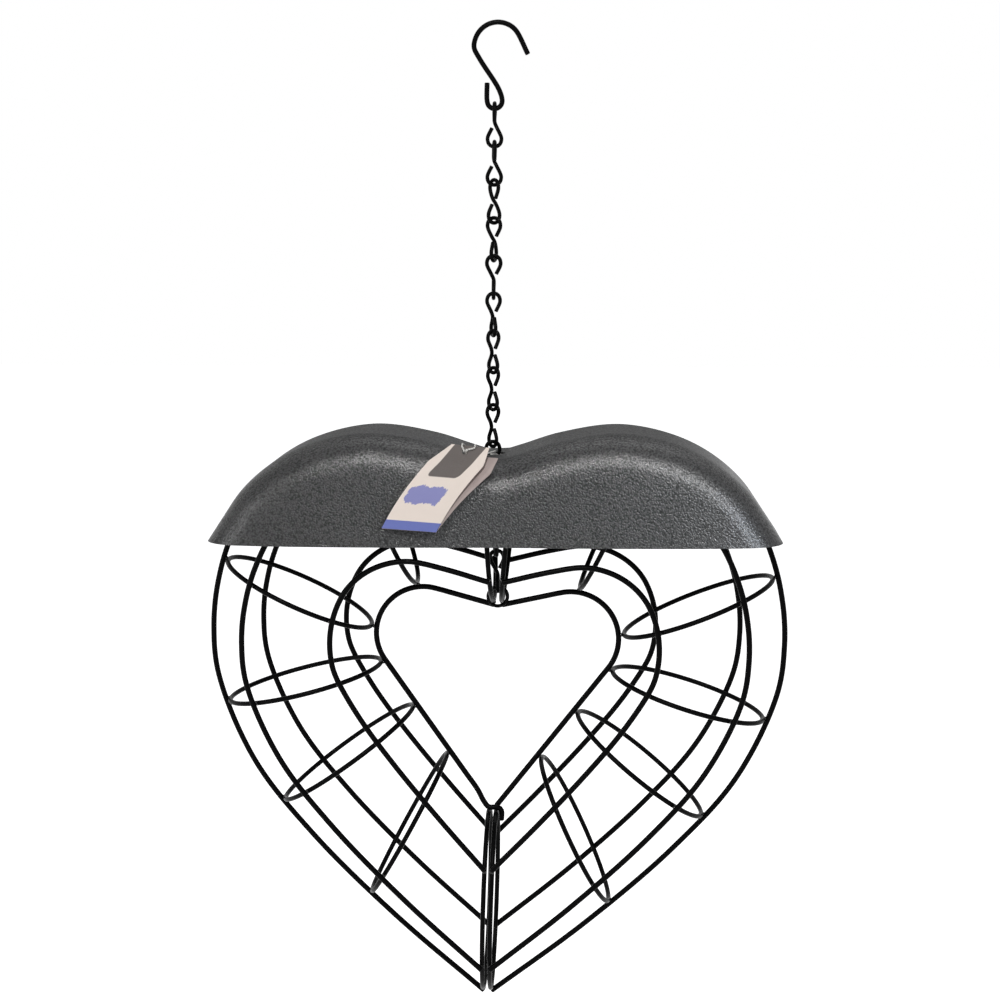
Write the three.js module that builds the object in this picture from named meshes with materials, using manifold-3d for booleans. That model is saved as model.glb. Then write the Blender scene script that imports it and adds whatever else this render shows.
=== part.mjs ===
// Heart-shaped suet feeder: two wire half-hearts under a sheet-metal roof, hung on a jack chain and an S-hook.
// Millimetres, +Z up, the front faces -Y. The origin is where the hook bears on what it hangs from.
import * as THREE from "three";
import { mergeVertices } from "three/addons/utils/BufferGeometryUtils.js";
import Module from "manifold-3d";

const wasm = await Module();
wasm.setup();

// Driving dimensions

const hook = {
  wire: 2.35,
  bendRadius: 11.0,
  tipReach: 13.9,
  tipDrop: 13.4,
  eyeRadius: 3.5,
  eyeDrop: 37.9,
  eyeSide: -1.5,
  tail: 8.3,
  bendFrom: 42,
  bendTo: 205,
  bendTurns: 7,
  eyeFrom: 10,
  eyeTo: -180,
  eyeTurns: 5,
  shank: [
    [-8.5, -15.2],
    [0.4, -29.0],
  ],
};

const link = {
  wire: 2.0,
  pitch: 17.5,
  loopRadius: 3.2,
  shoulder: 0.8,
  endHeight: 1.3,
  endGap: 0.25,
  loopAngles: [150, 120, 90, 60, 30],
};
const chainGap = 0.35;
// The turn of each link about the chain's line, in degrees, as it hangs in the photograph.
const linkTurns = [0, 8, 40, 72, 92, 112, 132, 132, 127, 98, 90, 90, 90];
// The chain leans on the roof's hole: how far to the right it lies there, and at which link.
const chainAtRoof = { side: -2.5, link: 10 };

const ring = { wire: 1.75, radius: 4.65, lean: 19, side: 0 };

const cage = {
  longWire: 2.7,
  hoopWire: 2.35,
  halfWidth: 137.7,
  halfDepth: 35.0,
  tipDrop: 195.0,
  vertexDrop: 100.0,
  lobeRise: 80.6,
  dipRise: 69.2,
  innerCornerOut: 91.6,
  innerCornerUp: 22.2,
  innerLobeRadius: 23.0,
  closedGap: 1.8,
  chainSlot: 7.0,
  lean: 1.5,
  wireAngle: 58.5,
  weldGap: 0.15,
  seatGap: 0.6,
};
// Outer wire, from the tip up: across as a share of halfWidth, down as a share of tipDrop.
const outerLowerShares = [
  [0.338, 0.81],
  [0.641, 0.604],
  [0.852, 0.418],
  [0.982, 0.202],
  [1.0, 0.077],
];
// From there over the lobe: across as a share of halfWidth, up as a share of lobeRise.
const outerUpperShares = [
  [0.986, 0.078],
  [0.939, 0.365],
  [0.841, 0.675],
  [0.675, 0.894],
  [0.443, 1.0],
  [0.232, 0.955],
  [0.102, 0.886],
];
// Where each hoop sits, from the tip to the cleft: share of the inner wire, share of the outer wire.
const hoopShares = [
  [0.193, 0.177],
  [0.352, 0.327],
  [0.502, 0.461],
  [0.605, 0.629],
  [0.786, 0.85],
];

const latch = {
  side: 2.7,
  riseGap: 0.25,
  reach: 2.5,
  bend: 2.0,
  drop: 6.5,
  sideShare: 0.6,
  leaveShare: 0.06,
  joinShare: 0.1,
};

const roof = {
  sheet: 0.8,
  seatGap: 1.7,
  edgeRise: 33.7,
  straightRise: 51.0,
  crownHalfDepth: 20.3,
  shoulderRadius: 16.6,
  shoulderTurn: 84,
  flare: 5.0,
  holeRadius: 6.2,
  crownFrom: 0.4,
  side: -0.9,
  lift: 0.7,
  lean: -0.2,
};

// The tag's panels stand before the left lobe. Across and up are from the middle of the roof's dip.
const tag = {
  sheet: 0.5,
  corners: [
    [-19.2, 8.8],
    [-1.9, 7.4],
    [-4.4, -0.5],
    [-25.7, -30.3],
    [-50.8, -29.0],
    [-29.8, 1.2],
  ],
  standOff: 3.3,
  leanShare: 0.28,
  turnShare: 0.08,
  backShift: 4.0,
  backDrop: 5.0,
  backLean: 1.0,
  hole: [-13.0, 5.6],
  panelOverlap: 0.1,
  holeRadius: 1.4,
};

// The thread's loop lies in the roof's hole, round the chain, between two angles.
const thread = {
  wire: 0.8,
  cardGap: 0.25,
  halfSpread: 0.5,
  knotRadius: 1.5,
  leftEdgeShare: 0.29,
  rightEdgeShare: 0.62,
  shoulderRise: 2.2,
  rimClearance: 1.4,
  loopRadius: 5.1,
  loopDrop: 1.5,
  loopFrom: 230,
  loopTo: -78,
  loopTurns: 9,
};

const mesh = {
  wireSides: 6,
  hookSides: 8,
  wireSteps: 32,
  hoopSteps: 22,
  linkSteps: 28,
  hookSteps: 30,
  ringSteps: 18,
  threadSteps: 4,
  threadSides: 5,
  longPlaces: 48,
  crownPlaces: 240,
  drillSides: 20,
  tagDrillSides: 12,
  roofColumns: 36,
  shoulderRows: 4,
  wallRows: 2,
};

const overrun = 1;

// Materials

const blackPaint = new THREE.MeshStandardMaterial({ color: 0x131313, roughness: 0.38, metalness: 0.4 });
const hammeredPaint = new THREE.MeshStandardMaterial({ color: 0x47484a, roughness: 0.45, metalness: 0.6 });
const creamCard = new THREE.MeshStandardMaterial({ color: 0xefe3d8, roughness: 0.85, metalness: 0 });
const whiteThread = new THREE.MeshStandardMaterial({ color: 0xf2f0ec, roughness: 0.9, metalness: 0 });

// Helpers

const degrees = Math.PI / 180;
const polar = (radius, angle) => [radius * Math.cos(angle * degrees), radius * Math.sin(angle * degrees)];
const point = (x, y, z) => new THREE.Vector3(x, y, z);
const turnedAboutZ = (v, angle) => v.applyAxisAngle(new THREE.Vector3(0, 0, 1), angle * degrees);

/** A regular polygon that stands for a round section. */
function roundSection(radius, sides) {
  const corners = [];
  for (let i = 0; i < sides; i++) corners.push(new THREE.Vector2(...polar(radius, (360 * i) / sides)));
  return new THREE.Shape(corners);
}

/** A wire with two ends, along a curve. */
function openWire(curve, diameter, steps, sides = mesh.wireSides) {
  return new THREE.ExtrudeGeometry(roundSection(diameter / 2, sides), {
    steps,
    extrudePath: curve,
    bevelEnabled: false,
  });
}

/** A wire without ends, round a closed curve. The section keeps one side to the ring's own axis. */
function closedWire(points, axis, diameter, sides = mesh.wireSides) {
  const places = [];
  const faces = [];
  const count = points.length;
  points.forEach((p, i) => {
    const before = points[(i + count - 1) % count];
    const after = points[(i + 1) % count];
    const along = after.clone().sub(before).normalize();
    const out = along.clone().cross(axis).normalize();
    const up = out.clone().cross(along).normalize();
    for (let k = 0; k < sides; k++) {
      const [a, b] = polar(diameter / 2, (360 * k) / sides);
      const place = p.clone().addScaledVector(out, a).addScaledVector(up, b);
      places.push(place.x, place.y, place.z);
    }
  });
  for (let i = 0; i < count; i++) {
    for (let k = 0; k < sides; k++) {
      const a = i * sides + k;
      const b = i * sides + ((k + 1) % sides);
      const c = ((i + 1) % count) * sides + k;
      const d = ((i + 1) % count) * sides + ((k + 1) % sides);
      faces.push(a, c, b, b, c, d);
    }
  }
  return facingOut(places, faces);
}

/** A wire with two ends through places close together, its section carried on without a twist. */
function looseWire(points, diameter, sides) {
  const places = [];
  const faces = [];
  const last = points.length - 1;
  const out = point(0, 0, 0);
  points.forEach((p, i) => {
    const along = points[Math.min(i + 1, last)].clone().sub(points[Math.max(i - 1, 0)]).normalize();
    if (i === 0) out.set(along.y, along.z, along.x);
    out.addScaledVector(along, -out.dot(along)).normalize();
    const up = out.clone().cross(along);
    for (let k = 0; k < sides; k++) {
      const [a, b] = polar(diameter / 2, (360 * k) / sides);
      const place = p.clone().addScaledVector(out, a).addScaledVector(up, b);
      places.push(place.x, place.y, place.z);
    }
  });
  for (let i = 0; i < last; i++) {
    for (let k = 0; k < sides; k++) {
      const [a, b] = [i * sides + k, i * sides + ((k + 1) % sides)];
      faces.push(a, a + sides, b, b, a + sides, b + sides);
    }
  }
  for (let k = 1; k + 1 < sides; k++) {
    faces.push(0, k, k + 1, last * sides, last * sides + k + 1, last * sides + k);
  }
  return facingOut(places, faces);
}

/** An indexed geometry whose faces point out, whichever way round they were listed. */
function facingOut(places, faces) {
  const geometry = new THREE.BufferGeometry();
  geometry.setAttribute("position", new THREE.Float32BufferAttribute(places, 3));
  let volume = 0;
  const corner = (i) => point(places[3 * i], places[3 * i + 1], places[3 * i + 2]);
  for (let i = 0; i < faces.length; i += 3) {
    const [a, b, c] = [corner(faces[i]), corner(faces[i + 1]), corner(faces[i + 2])];
    volume += a.dot(b.cross(c));
  }
  const turned = [];
  for (let i = 0; i < faces.length; i += 3) {
    if (volume > 0) turned.push(faces[i], faces[i + 1], faces[i + 2]);
    else turned.push(faces[i], faces[i + 2], faces[i + 1]);
  }
  geometry.setIndex(turned);
  geometry.computeVertexNormals();
  return geometry;
}

/** A closed geometry as a solid that can be joined and cut. */
function solidOf(geometry) {
  const bare = geometry.index ? geometry.toNonIndexed() : geometry.clone();
  for (const name of Object.keys(bare.attributes)) {
    if (name !== "position") bare.deleteAttribute(name);
  }
  const merged = mergeVertices(bare, 1e-4);
  return new wasm.Manifold(
    new wasm.Mesh({
      numProp: 3,
      vertProperties: merged.attributes.position.array,
      triVerts: new Uint32Array(merged.index.array),
    }),
  );
}

/** A joined or cut solid as a geometry. */
function geometryOf(solid) {
  const made = solid.getMesh();
  const geometry = new THREE.BufferGeometry();
  geometry.setAttribute("position", new THREE.BufferAttribute(new Float32Array(made.vertProperties), 3));
  geometry.setIndex(new THREE.BufferAttribute(new Uint32Array(made.triVerts), 1));
  geometry.computeVertexNormals();
  return geometry;
}

function piece(name, geometry, material) {
  const made = new THREE.Mesh(geometry, material);
  made.name = name;
  return made;
}

// Heights on the chain

/** The middle of the crossing above link number k, where link 1 hangs on the hook's eye. */
const crossing = (k) => -hook.eyeDrop + hook.wire / 2 + chainGap / 2 - (k - 1) * link.pitch;
/** How far to the right that crossing lies. */
function crossingSide(k) {
  const below = (k - chainAtRoof.link) / (linkTurns.length + 1 - chainAtRoof.link);
  if (below > 0) return THREE.MathUtils.lerp(chainAtRoof.side, ring.side, below);
  return THREE.MathUtils.lerp(hook.eyeSide, chainAtRoof.side, (k - 1) / (chainAtRoof.link - 1));
}
const ringTop = crossing(linkTurns.length + 1) + chainGap / 2 + ring.wire / 2;
const [ringBack, ringFall] = [Math.sin(ring.lean * degrees), Math.cos(ring.lean * degrees)];
const ringBottom = ringTop - 2 * ring.radius * ringFall;
const ringFront = 2 * ring.radius * ringBack;

// The S-hook, its big bend open to the right and its eye open to the left

function makeHook() {
  const top = hook.wire / 2;
  const middle = top - hook.bendRadius;
  const eye = hook.eyeRadius - hook.eyeDrop;
  const path = [point(hook.tipReach, 0, -hook.tipDrop)];
  for (let i = 0; i < hook.bendTurns; i++) {
    const angle = hook.bendFrom + ((hook.bendTo - hook.bendFrom) * i) / hook.bendTurns;
    const [across, up] = polar(hook.bendRadius, angle);
    path.push(point(across, 0, middle + up));
  }
  for (const [across, up] of hook.shank) path.push(point(across, 0, up));
  for (let i = 0; i <= hook.eyeTurns; i++) {
    const angle = hook.eyeFrom + ((hook.eyeTo - hook.eyeFrom) * i) / hook.eyeTurns;
    const [across, up] = polar(hook.eyeRadius, angle);
    path.push(point(hook.eyeSide + across, 0, eye + up));
  }
  path.push(point(hook.eyeSide - hook.eyeRadius, 0, eye + hook.tail));
  const curve = new THREE.CatmullRomCurve3(path, false, "centripetal");
  return openWire(curve, hook.wire, mesh.hookSteps, mesh.hookSides);
}

// A chain link: one wire bent to two tear-shaped loops in planes square to each other

function makeLink(turn, number) {
  const half = link.pitch / 2 + chainGap / 2 + link.wire / 2;
  const side = (link.wire + link.endGap) / 2;
  const round = link.loopRadius;
  const loop = [
    [-side, link.endHeight],
    [-round, half - round - link.shoulder],
    ...link.loopAngles.map((angle) => {
      const [across, up] = polar(round, angle);
      return [across, half - round + up];
    }),
    [round, half - round - link.shoulder],
    [side, link.endHeight],
  ];
  const upper = loop.map(([across, up]) => point(0, across, up));
  const lower = loop.map(([across, up]) => point(across, 0, -up)).reverse();
  const [top, bottom] = [crossingSide(number), crossingSide(number + 1)];
  const lean = Math.atan2(top - bottom, link.pitch);
  const middle = point((top + bottom) / 2, 0, crossing(number) - link.pitch / 2);
  const path = [...upper, ...lower].map((p) =>
    turnedAboutZ(p, turn).applyAxisAngle(point(0, 1, 0), lean).add(middle),
  );
  const curve = new THREE.CatmullRomCurve3(path, false, "centripetal");
  return openWire(curve, link.wire, mesh.linkSteps);
}

// The small ring that carries both halves of the cage

function makeRing() {
  const geometry = new THREE.TorusGeometry(ring.radius, ring.wire / 2, mesh.wireSides, mesh.ringSteps);
  geometry.rotateX(90 * degrees);
  geometry.translate(0, 0, -ring.radius);
  geometry.rotateX(-ring.lean * degrees);
  geometry.translate(ring.side, 0, ringTop);
  return geometry;
}

// The cage

const longRadius = cage.longWire / 2;
const hoopRadius = cage.hoopWire / 2;
const weldReach = longRadius + hoopRadius + cage.weldGap;
// The cleft's wires hang their ovals on the ring's lowest point.
const cleftHeight = ringBottom + ring.wire / 2 + hoopRadius + cage.seatGap - weldReach;

/** The inner wire of the left half, in the plane of the heart: a straight, a lobe and a straight. */
function innerOutline() {
  const vertex = new THREE.Vector2(-cage.closedGap, -cage.vertexDrop);
  const corner = new THREE.Vector2(-cage.innerCornerOut, cage.innerCornerUp);
  const cleft = new THREE.Vector2(-cage.closedGap, 0);
  const toVertex = vertex.clone().sub(corner).normalize();
  const toCleft = cleft.clone().sub(corner).normalize();
  const half = Math.acos(toVertex.dot(toCleft)) / 2;
  const reach = cage.innerLobeRadius / Math.tan(half);
  const bisector = toVertex.clone().add(toCleft).normalize();
  const centre = corner.clone().addScaledVector(bisector, cage.innerLobeRadius / Math.sin(half));
  const from = corner.clone().addScaledVector(toVertex, reach);
  const to = corner.clone().addScaledVector(toCleft, reach);
  const startAngle = Math.atan2(from.y - centre.y, from.x - centre.x);
  const endAngle = Math.atan2(to.y - centre.y, to.x - centre.x);
  const outline = new THREE.Path();
  outline.moveTo(vertex.x, vertex.y);
  outline.lineTo(from.x, from.y);
  outline.absarc(centre.x, centre.y, cage.innerLobeRadius, startAngle, endAngle, true);
  outline.lineTo(cleft.x, cleft.y);
  return outline;
}

/** The outer wire of the left half, in the plane of the heart. */
function outerOutline() {
  const places = [
    new THREE.Vector2(-cage.closedGap, -cage.tipDrop),
    ...outerLowerShares.map(([out, down]) => new THREE.Vector2(-out * cage.halfWidth, -down * cage.tipDrop)),
    ...outerUpperShares.map(([out, up]) => new THREE.Vector2(-out * cage.halfWidth, up * cage.lobeRise)),
    new THREE.Vector2(-cage.chainSlot, cage.dipRise),
  ];
  const flat = places.map((p) => point(p.x, 0, p.y));
  return new THREE.CatmullRomCurve3(flat, false, "centripetal");
}

const inner = innerOutline();
const outer = outerOutline();
const pairs = new THREE.SplineCurve(
  [[0, 0], ...hoopShares, [1, 1]].map(([a, b]) => new THREE.Vector2(a, b)),
);

/** The two ends of the cross-section at a pair of shares along the inner and the outer wire. */
function section([innerShare, outerShare]) {
  const a = inner.getPointAt(THREE.MathUtils.clamp(innerShare, 0, 1));
  const b = outer.getPointAt(THREE.MathUtils.clamp(outerShare, 0, 1));
  return { inside: point(a.x, 0, a.y), outside: b };
}

/** A place on the cage's skin. Angle 0 is the outer wire, 180 the inner one, and 90 the front. */
function onSkin(pair, angle) {
  const { inside, outside } = section(pair);
  const [along, front] = polar(1, angle);
  const middle = inside.clone().add(outside).multiplyScalar(0.5);
  const half = outside.clone().sub(inside).multiplyScalar(0.5);
  return middle.addScaledVector(half, along).add(point(0, -front * cage.halfDepth, 0));
}

/** The pair of shares at a share of the way along the cage. */
function pairAt(share) {
  const p = pairs.getPoint(share);
  return [p.x, p.y];
}

/** A long wire of the left half at an angle round the tube. */
function longCurve(angle) {
  const places = [];
  for (let i = 0; i <= mesh.longPlaces; i++) places.push(onSkin(pairAt(i / mesh.longPlaces), angle));
  return places;
}

const wireAngles = {
  outer: 0,
  front_outer: cage.wireAngle,
  front_inner: 180 - cage.wireAngle,
  inner: 180,
  back_inner: 180 + cage.wireAngle,
  back_outer: -cage.wireAngle,
};

/** How far inside the skin a hoop lies at an angle, so that its wire clears the long wire there. */
function hoopInset(pair, angle, end) {
  const small = 0.004;
  const nudged = (by) => {
    const share = pairs.getPoint(THREE.MathUtils.clamp(hoopShare(pair) + by, 0, 1));
    return onSkin([share.x, share.y], angle);
  };
  const run = nudged(small).sub(nudged(-small)).normalize();
  const round = onSkin(pair, angle + 1).sub(onSkin(pair, angle - 1)).normalize();
  const { inside, outside } = section(pair);
  const normal = outside.clone().sub(inside).cross(point(0, 1, 0)).normalize();
  const square = Math.abs(run.dot(normal));
  const inward = onSkin(pair, angle + 180).sub(onSkin(pair, angle));
  const leaving = run.clone().multiplyScalar(end);
  // Past a free end the nearest point is the end itself.
  if (end && inward.dot(leaving) > 0) return weldReach;
  return (weldReach * round.cross(run).length()) / square;
}

/** The share along the cage at which a pair lies. */
function hoopShare(pair) {
  const all = [[0, 0], ...hoopShares, [1, 1]];
  return all.findIndex(([a, b]) => a === pair[0] && b === pair[1]) / (all.length - 1);
}

/** Lagrange's cubic through four values given at four places. */
function cubicThrough(places, values, at) {
  return values.reduce((sum, value, i) => {
    const weight = places.reduce((w, p, k) => (k === i ? w : (w * (at - p)) / (places[i] - p)), 1);
    return sum + value * weight;
  }, 0);
}

/** A hoop or an end oval of the left half, inside the long wires. */
function hoopPoints(pair, end) {
  const angles = [0, cage.wireAngle, 180 - cage.wireAngle, 180];
  const insets = angles.map((angle) => hoopInset(pair, angle, end));
  const cosines = angles.map((angle) => Math.cos(angle * degrees));
  const { inside, outside } = section(pair);
  const along = outside.clone().sub(inside).normalize();
  const points = [];
  for (let i = 0; i < mesh.hoopSteps; i++) {
    const angle = (360 * i) / mesh.hoopSteps;
    const [c, s] = polar(1, angle);
    const inset = cubicThrough(cosines, insets, c);
    points.push(onSkin(pair, angle).addScaledVector(along, -c * inset).add(point(0, s * inset, 0)));
  }
  return points;
}

/** The latch: the left inner wire runs on over both tip ovals and turns down beyond the right one. */
function latchPlaces(ovalTop) {
  const over = ovalTop + hoopRadius + longRadius + latch.riseGap;
  const past = cage.closedGap + hoopRadius + longRadius + latch.riseGap;
  return [
    point(past, -latch.side, over - latch.drop),
    point(past, -latch.side, over - latch.bend),
    point(past - latch.bend / 3, -latch.side, over - latch.bend / 3),
    point(cage.closedGap, -latch.side, over),
    point(-cage.closedGap, -latch.side, over),
    point(-cage.closedGap - latch.reach, -latch.side * latch.sideShare, over + latch.reach),
    onSkin(pairAt(latch.leaveShare), 180),
  ];
}

/** The thirteen wires of one half. side is -1 for the left half and 1 for the right. */
function makeHalf(name, side) {
  const half = new THREE.Group();
  const across = (p) => point(-side * p.x, p.y, p.z);
  const ends = [[0, 0], ...hoopShares, [1, 1]];
  const last = ends.length - 1;
  const rings = ends.map((pair, i) => hoopPoints(pair, i === 0 ? -1 : i === last ? 1 : 0));
  const ringNames = ["tip_oval", "hoop_4", "hoop_3", "hoop_2", "hoop_1", "hoop_0", "cleft_oval"];
  for (const [label, angle] of Object.entries(wireAngles)) {
    let places = longCurve(angle);
    if (label === "inner" && side < 0) {
      const ovalTop = Math.max(...rings[0].map((p) => p.z));
      places = [...latchPlaces(ovalTop), ...places.slice(Math.ceil(latch.joinShare * mesh.longPlaces))];
    }
    const curve = new THREE.CatmullRomCurve3(places.map(across), false, "centripetal");
    half.add(piece(`${name}_${label}_wire`, openWire(curve, cage.longWire, mesh.wireSteps), blackPaint));
  }
  rings.forEach((points, i) => {
    const placed = points.map(across);
    const axis = placed[0].clone().sub(placed[5]).cross(placed[11].clone().sub(placed[5])).normalize();
    half.add(piece(`${name}_${ringNames[i]}`, closedWire(placed, axis, cage.hoopWire), blackPaint));
  });
  half.position.z = cleftHeight;
  half.rotation.y = cage.lean * degrees;
  return half;
}

// The roof

/** The crown's line over both lobes, from the left edge to the right one, at a depth below the skin. */
function crownLine(depth) {
  const away = longRadius + roof.seatGap + roof.sheet - depth;
  const half = [];
  for (let i = 0; i <= mesh.crownPlaces; i++) {
    const share = THREE.MathUtils.lerp(roof.crownFrom, 1, i / mesh.crownPlaces);
    const p = outer.getPointAt(share);
    const t = outer.getTangentAt(share);
    half.push(new THREE.Vector2(p.x - t.z * away, p.z + t.x * away));
  }
  const first = half.findIndex((p) => p.y > roof.straightRise);
  const start = half[first];
  const slope = half[first + 1].clone().sub(start).normalize();
  const run = (start.y - roof.edgeRise + roof.shoulderRadius) / slope.y;
  const straight = [1, 0.75, 0.5, 0.25].map((share) => start.clone().addScaledVector(slope, -run * share));
  const left = [...straight, ...half.slice(first)];
  const right = left.map((p) => new THREE.Vector2(-p.x, p.y)).reverse();
  return new THREE.SplineCurve([...left, ...right]);
}

/** One column of the roof from the front to the back, with walls that run on below the edge. */
function roofColumn(place, inward, depth) {
  const round = roof.shoulderRadius - depth;
  const front = [];
  for (let i = 0; i <= mesh.shoulderRows; i++) {
    const angle = (roof.shoulderTurn * i) / mesh.shoulderRows;
    const [c, s] = polar(round, angle);
    const at = place.clone().addScaledVector(inward, round - c);
    front.push([at.x, roof.crownHalfDepth + s, at.y]);
  }
  const [x, y, z] = front.at(-1);
  const low = Math.min(z, roof.edgeRise) - 2 * roof.sheet;
  for (let i = 1; i <= mesh.wallRows; i++) {
    const fall = ((z - low) * i) / mesh.wallRows;
    front.push([x, y + fall * Math.tan(roof.flare * degrees), z - fall]);
  }
  const back = front.map((p) => [...p]);
  return [...front.reverse().map(([a, b, c]) => [a, -b, c]), ...back];
}

function makeRoof() {
  const skins = [0, roof.sheet].map((depth) => {
    const line = crownLine(depth);
    const columns = [];
    for (let i = 0; i <= mesh.roofColumns; i++) {
      const share = i / mesh.roofColumns;
      const place = line.getPointAt(share);
      const tangent = line.getTangentAt(share);
      columns.push(roofColumn(place, new THREE.Vector2(tangent.y, -tangent.x), depth));
    }
    return columns;
  });
  const places = [];
  const faces = [];
  const index = new Map();
  const corner = ([x, y, z]) => {
    const key = [x, y, z].map((value) => value.toFixed(4)).join();
    if (!index.has(key)) {
      index.set(key, places.length / 3);
      places.push(x, y, z);
    }
    return index.get(key);
  };
  const face = (a, b, c) => {
    if (a !== b && b !== c && c !== a) faces.push(a, b, c);
  };
  const quad = (p, q, r, s) => {
    const [a, b, c, d] = [p, q, r, s].map(corner);
    face(a, b, c);
    face(a, c, d);
  };
  const [outside, insideSkin] = skins;
  const columns = outside.length;
  const rows = outside[0].length;
  for (let i = 0; i + 1 < columns; i++) {
    for (let j = 0; j + 1 < rows; j++) {
      quad(outside[i][j], outside[i + 1][j], outside[i + 1][j + 1], outside[i][j + 1]);
      quad(insideSkin[i][j], insideSkin[i][j + 1], insideSkin[i + 1][j + 1], insideSkin[i + 1][j]);
    }
    quad(outside[i][0], insideSkin[i][0], insideSkin[i + 1][0], outside[i + 1][0]);
    const top = rows - 1;
    quad(outside[i][top], outside[i + 1][top], insideSkin[i + 1][top], insideSkin[i][top]);
  }
  for (let j = 0; j + 1 < rows; j++) {
    const end = columns - 1;
    quad(outside[0][j], outside[0][j + 1], insideSkin[0][j + 1], insideSkin[0][j]);
    quad(outside[end][j], insideSkin[end][j], insideSkin[end][j + 1], outside[end][j + 1]);
  }
  const shell = facingOut(places, faces);
  const drillHeight = cage.lobeRise + overrun - cage.dipRise;
  const drill = new THREE.CylinderGeometry(roof.holeRadius, roof.holeRadius, 2 * drillHeight, mesh.drillSides);
  drill.rotateX(90 * degrees);
  drill.translate(chainAtRoof.side - roof.side, 0, cage.dipRise);
  const reach = 4 * cage.halfWidth;
  const below = new THREE.BoxGeometry(reach, reach, reach);
  below.translate(0, 0, roof.edgeRise - reach / 2);
  const cut = geometryOf(solidOf(shell).subtract(solidOf(drill)).subtract(solidOf(below)));
  cut.rotateY(roof.lean * degrees);
  cut.translate(roof.side, 0, cleftHeight + roof.lift);
  return cut;
}

// The swing tag, a card folded at its lower edge

const dipHeight = cleftHeight + cage.dipRise + longRadius + roof.seatGap + roof.sheet;

const tagOut = roof.crownHalfDepth + roof.shoulderRadius + tag.standOff;

/** A place on the tag's front panel, across and up from the middle of the roof's dip. */
function onTag([across, up]) {
  return point(across, tag.leanShare * up - tag.turnShare * across - tagOut, dipHeight + up);
}

/** A flat card with the given corners in turn, and its thickness behind them. */
function card(corners, behind) {
  const count = corners.length;
  const places = [];
  const faces = [];
  for (const p of corners) places.push(p.x, p.y, p.z);
  for (const p of corners) places.push(p.x + behind.x, p.y + behind.y, p.z + behind.z);
  for (let i = 1; i + 1 < count; i++) {
    faces.push(0, i, i + 1, count, count + i + 1, count + i);
  }
  for (let i = 0; i < count; i++) {
    const next = (i + 1) % count;
    faces.push(i, i + count, next, next, i + count, next + count);
  }
  return solidOf(facingOut(places, faces));
}

const tagCorners = tag.corners.map(onTag);
const [tagTopLeft, tagTopRight] = tagCorners;
const tagHole = onTag(tag.hole);
const tagDown = tagCorners[3].clone().sub(tagCorners[2]);
const tagBehind = tagTopRight.clone().sub(tagTopLeft).cross(tagDown).normalize().multiplyScalar(tag.sheet);

/** The back panel: the front one swung back a little about the fold at its lower edge. */
function backPanelCorners() {
  const fold = tag.corners[3][1];
  const height = tag.corners[0][1] - fold;
  return tag.corners.map(([across, up]) => {
    const share = Math.max(0, up - fold) / height;
    const shift = point(tag.backShift, tag.backLean, -tag.backDrop).multiplyScalar(share);
    return onTag([across, up]).add(shift).addScaledVector(tagBehind, 1 - tag.panelOverlap);
  });
}

function makeTag() {
  const front = card(tagCorners, tagBehind);
  const back = card(backPanelCorners(), tagBehind);
  const drill = new THREE.CylinderGeometry(tag.holeRadius, tag.holeRadius, 2 * tagOut, mesh.tagDrillSides);
  drill.translate(tagHole.x, -tagOut, tagHole.z);
  return geometryOf(front.add(back).subtract(solidOf(drill)));
}

// The thread: a knot behind the tag's hole, and two strands over its top edge that meet round the chain

function makeThread() {
  const behind = tagBehind.clone().normalize();
  const right = tagTopRight.clone().sub(tagTopLeft).normalize();
  const upward = right.clone().cross(behind);
  const onCard = (p, across, up, back) =>
    p.clone().addScaledVector(right, across).addScaledVector(upward, up).addScaledVector(behind, back);
  const clear = thread.wire / 2 + thread.cardGap;
  const bend = clear * Math.SQRT1_2;
  const knot = onCard(tagHole, 0, 0, tag.sheet + thread.cardGap + thread.knotRadius);
  const top = dipHeight + roof.lift;
  const loop = (radius, angle, height) => {
    const [x, y] = polar(radius, angle);
    return point(chainAtRoof.side + x, y, top + height);
  };
  const strand = (side, edgeShare, angle) => {
    const apart = side * thread.halfSpread;
    const edge = tagTopLeft.clone().lerp(tagTopRight, edgeShare);
    const rim = loop(roof.holeRadius + thread.rimClearance, angle, thread.rimClearance);
    const over = onCard(edge, 0, clear, tag.sheet + 3 * clear);
    const shoulder = over.clone().lerp(rim, (over.y + roof.crownHalfDepth) / (over.y - rim.y));
    shoulder.z = top + thread.shoulderRise;
    return [
      onCard(knot, apart, 0, 0),
      onCard(tagHole, apart, 0, tag.sheet),
      onCard(tagHole, apart, thread.halfSpread, -clear),
      onCard(edge, 0, -clear, -clear),
      onCard(edge, 0, bend, -bend),
      onCard(edge, 0, clear, tag.sheet / 2),
      over,
      shoulder,
      rim,
      loop(thread.loopRadius, angle, thread.rimClearance / 3),
    ];
  };
  const path = strand(-1, thread.leftEdgeShare, thread.loopFrom);
  for (let i = 1; i < thread.loopTurns; i++) {
    const angle = THREE.MathUtils.lerp(thread.loopFrom, thread.loopTo, i / thread.loopTurns);
    path.push(loop(thread.loopRadius, angle, -thread.loopDrop));
  }
  path.push(...strand(1, thread.rightEdgeShare, thread.loopTo).reverse());
  const curve = new THREE.CatmullRomCurve3(path, false, "centripetal");
  const strands = looseWire(curve.getPoints(mesh.threadSteps * (path.length - 1)), thread.wire, mesh.threadSides);
  const ball = new THREE.IcosahedronGeometry(thread.knotRadius, 1);
  ball.translate(knot.x, knot.y, knot.z);
  return geometryOf(solidOf(strands).add(solidOf(ball)));
}

// Assembly

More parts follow.
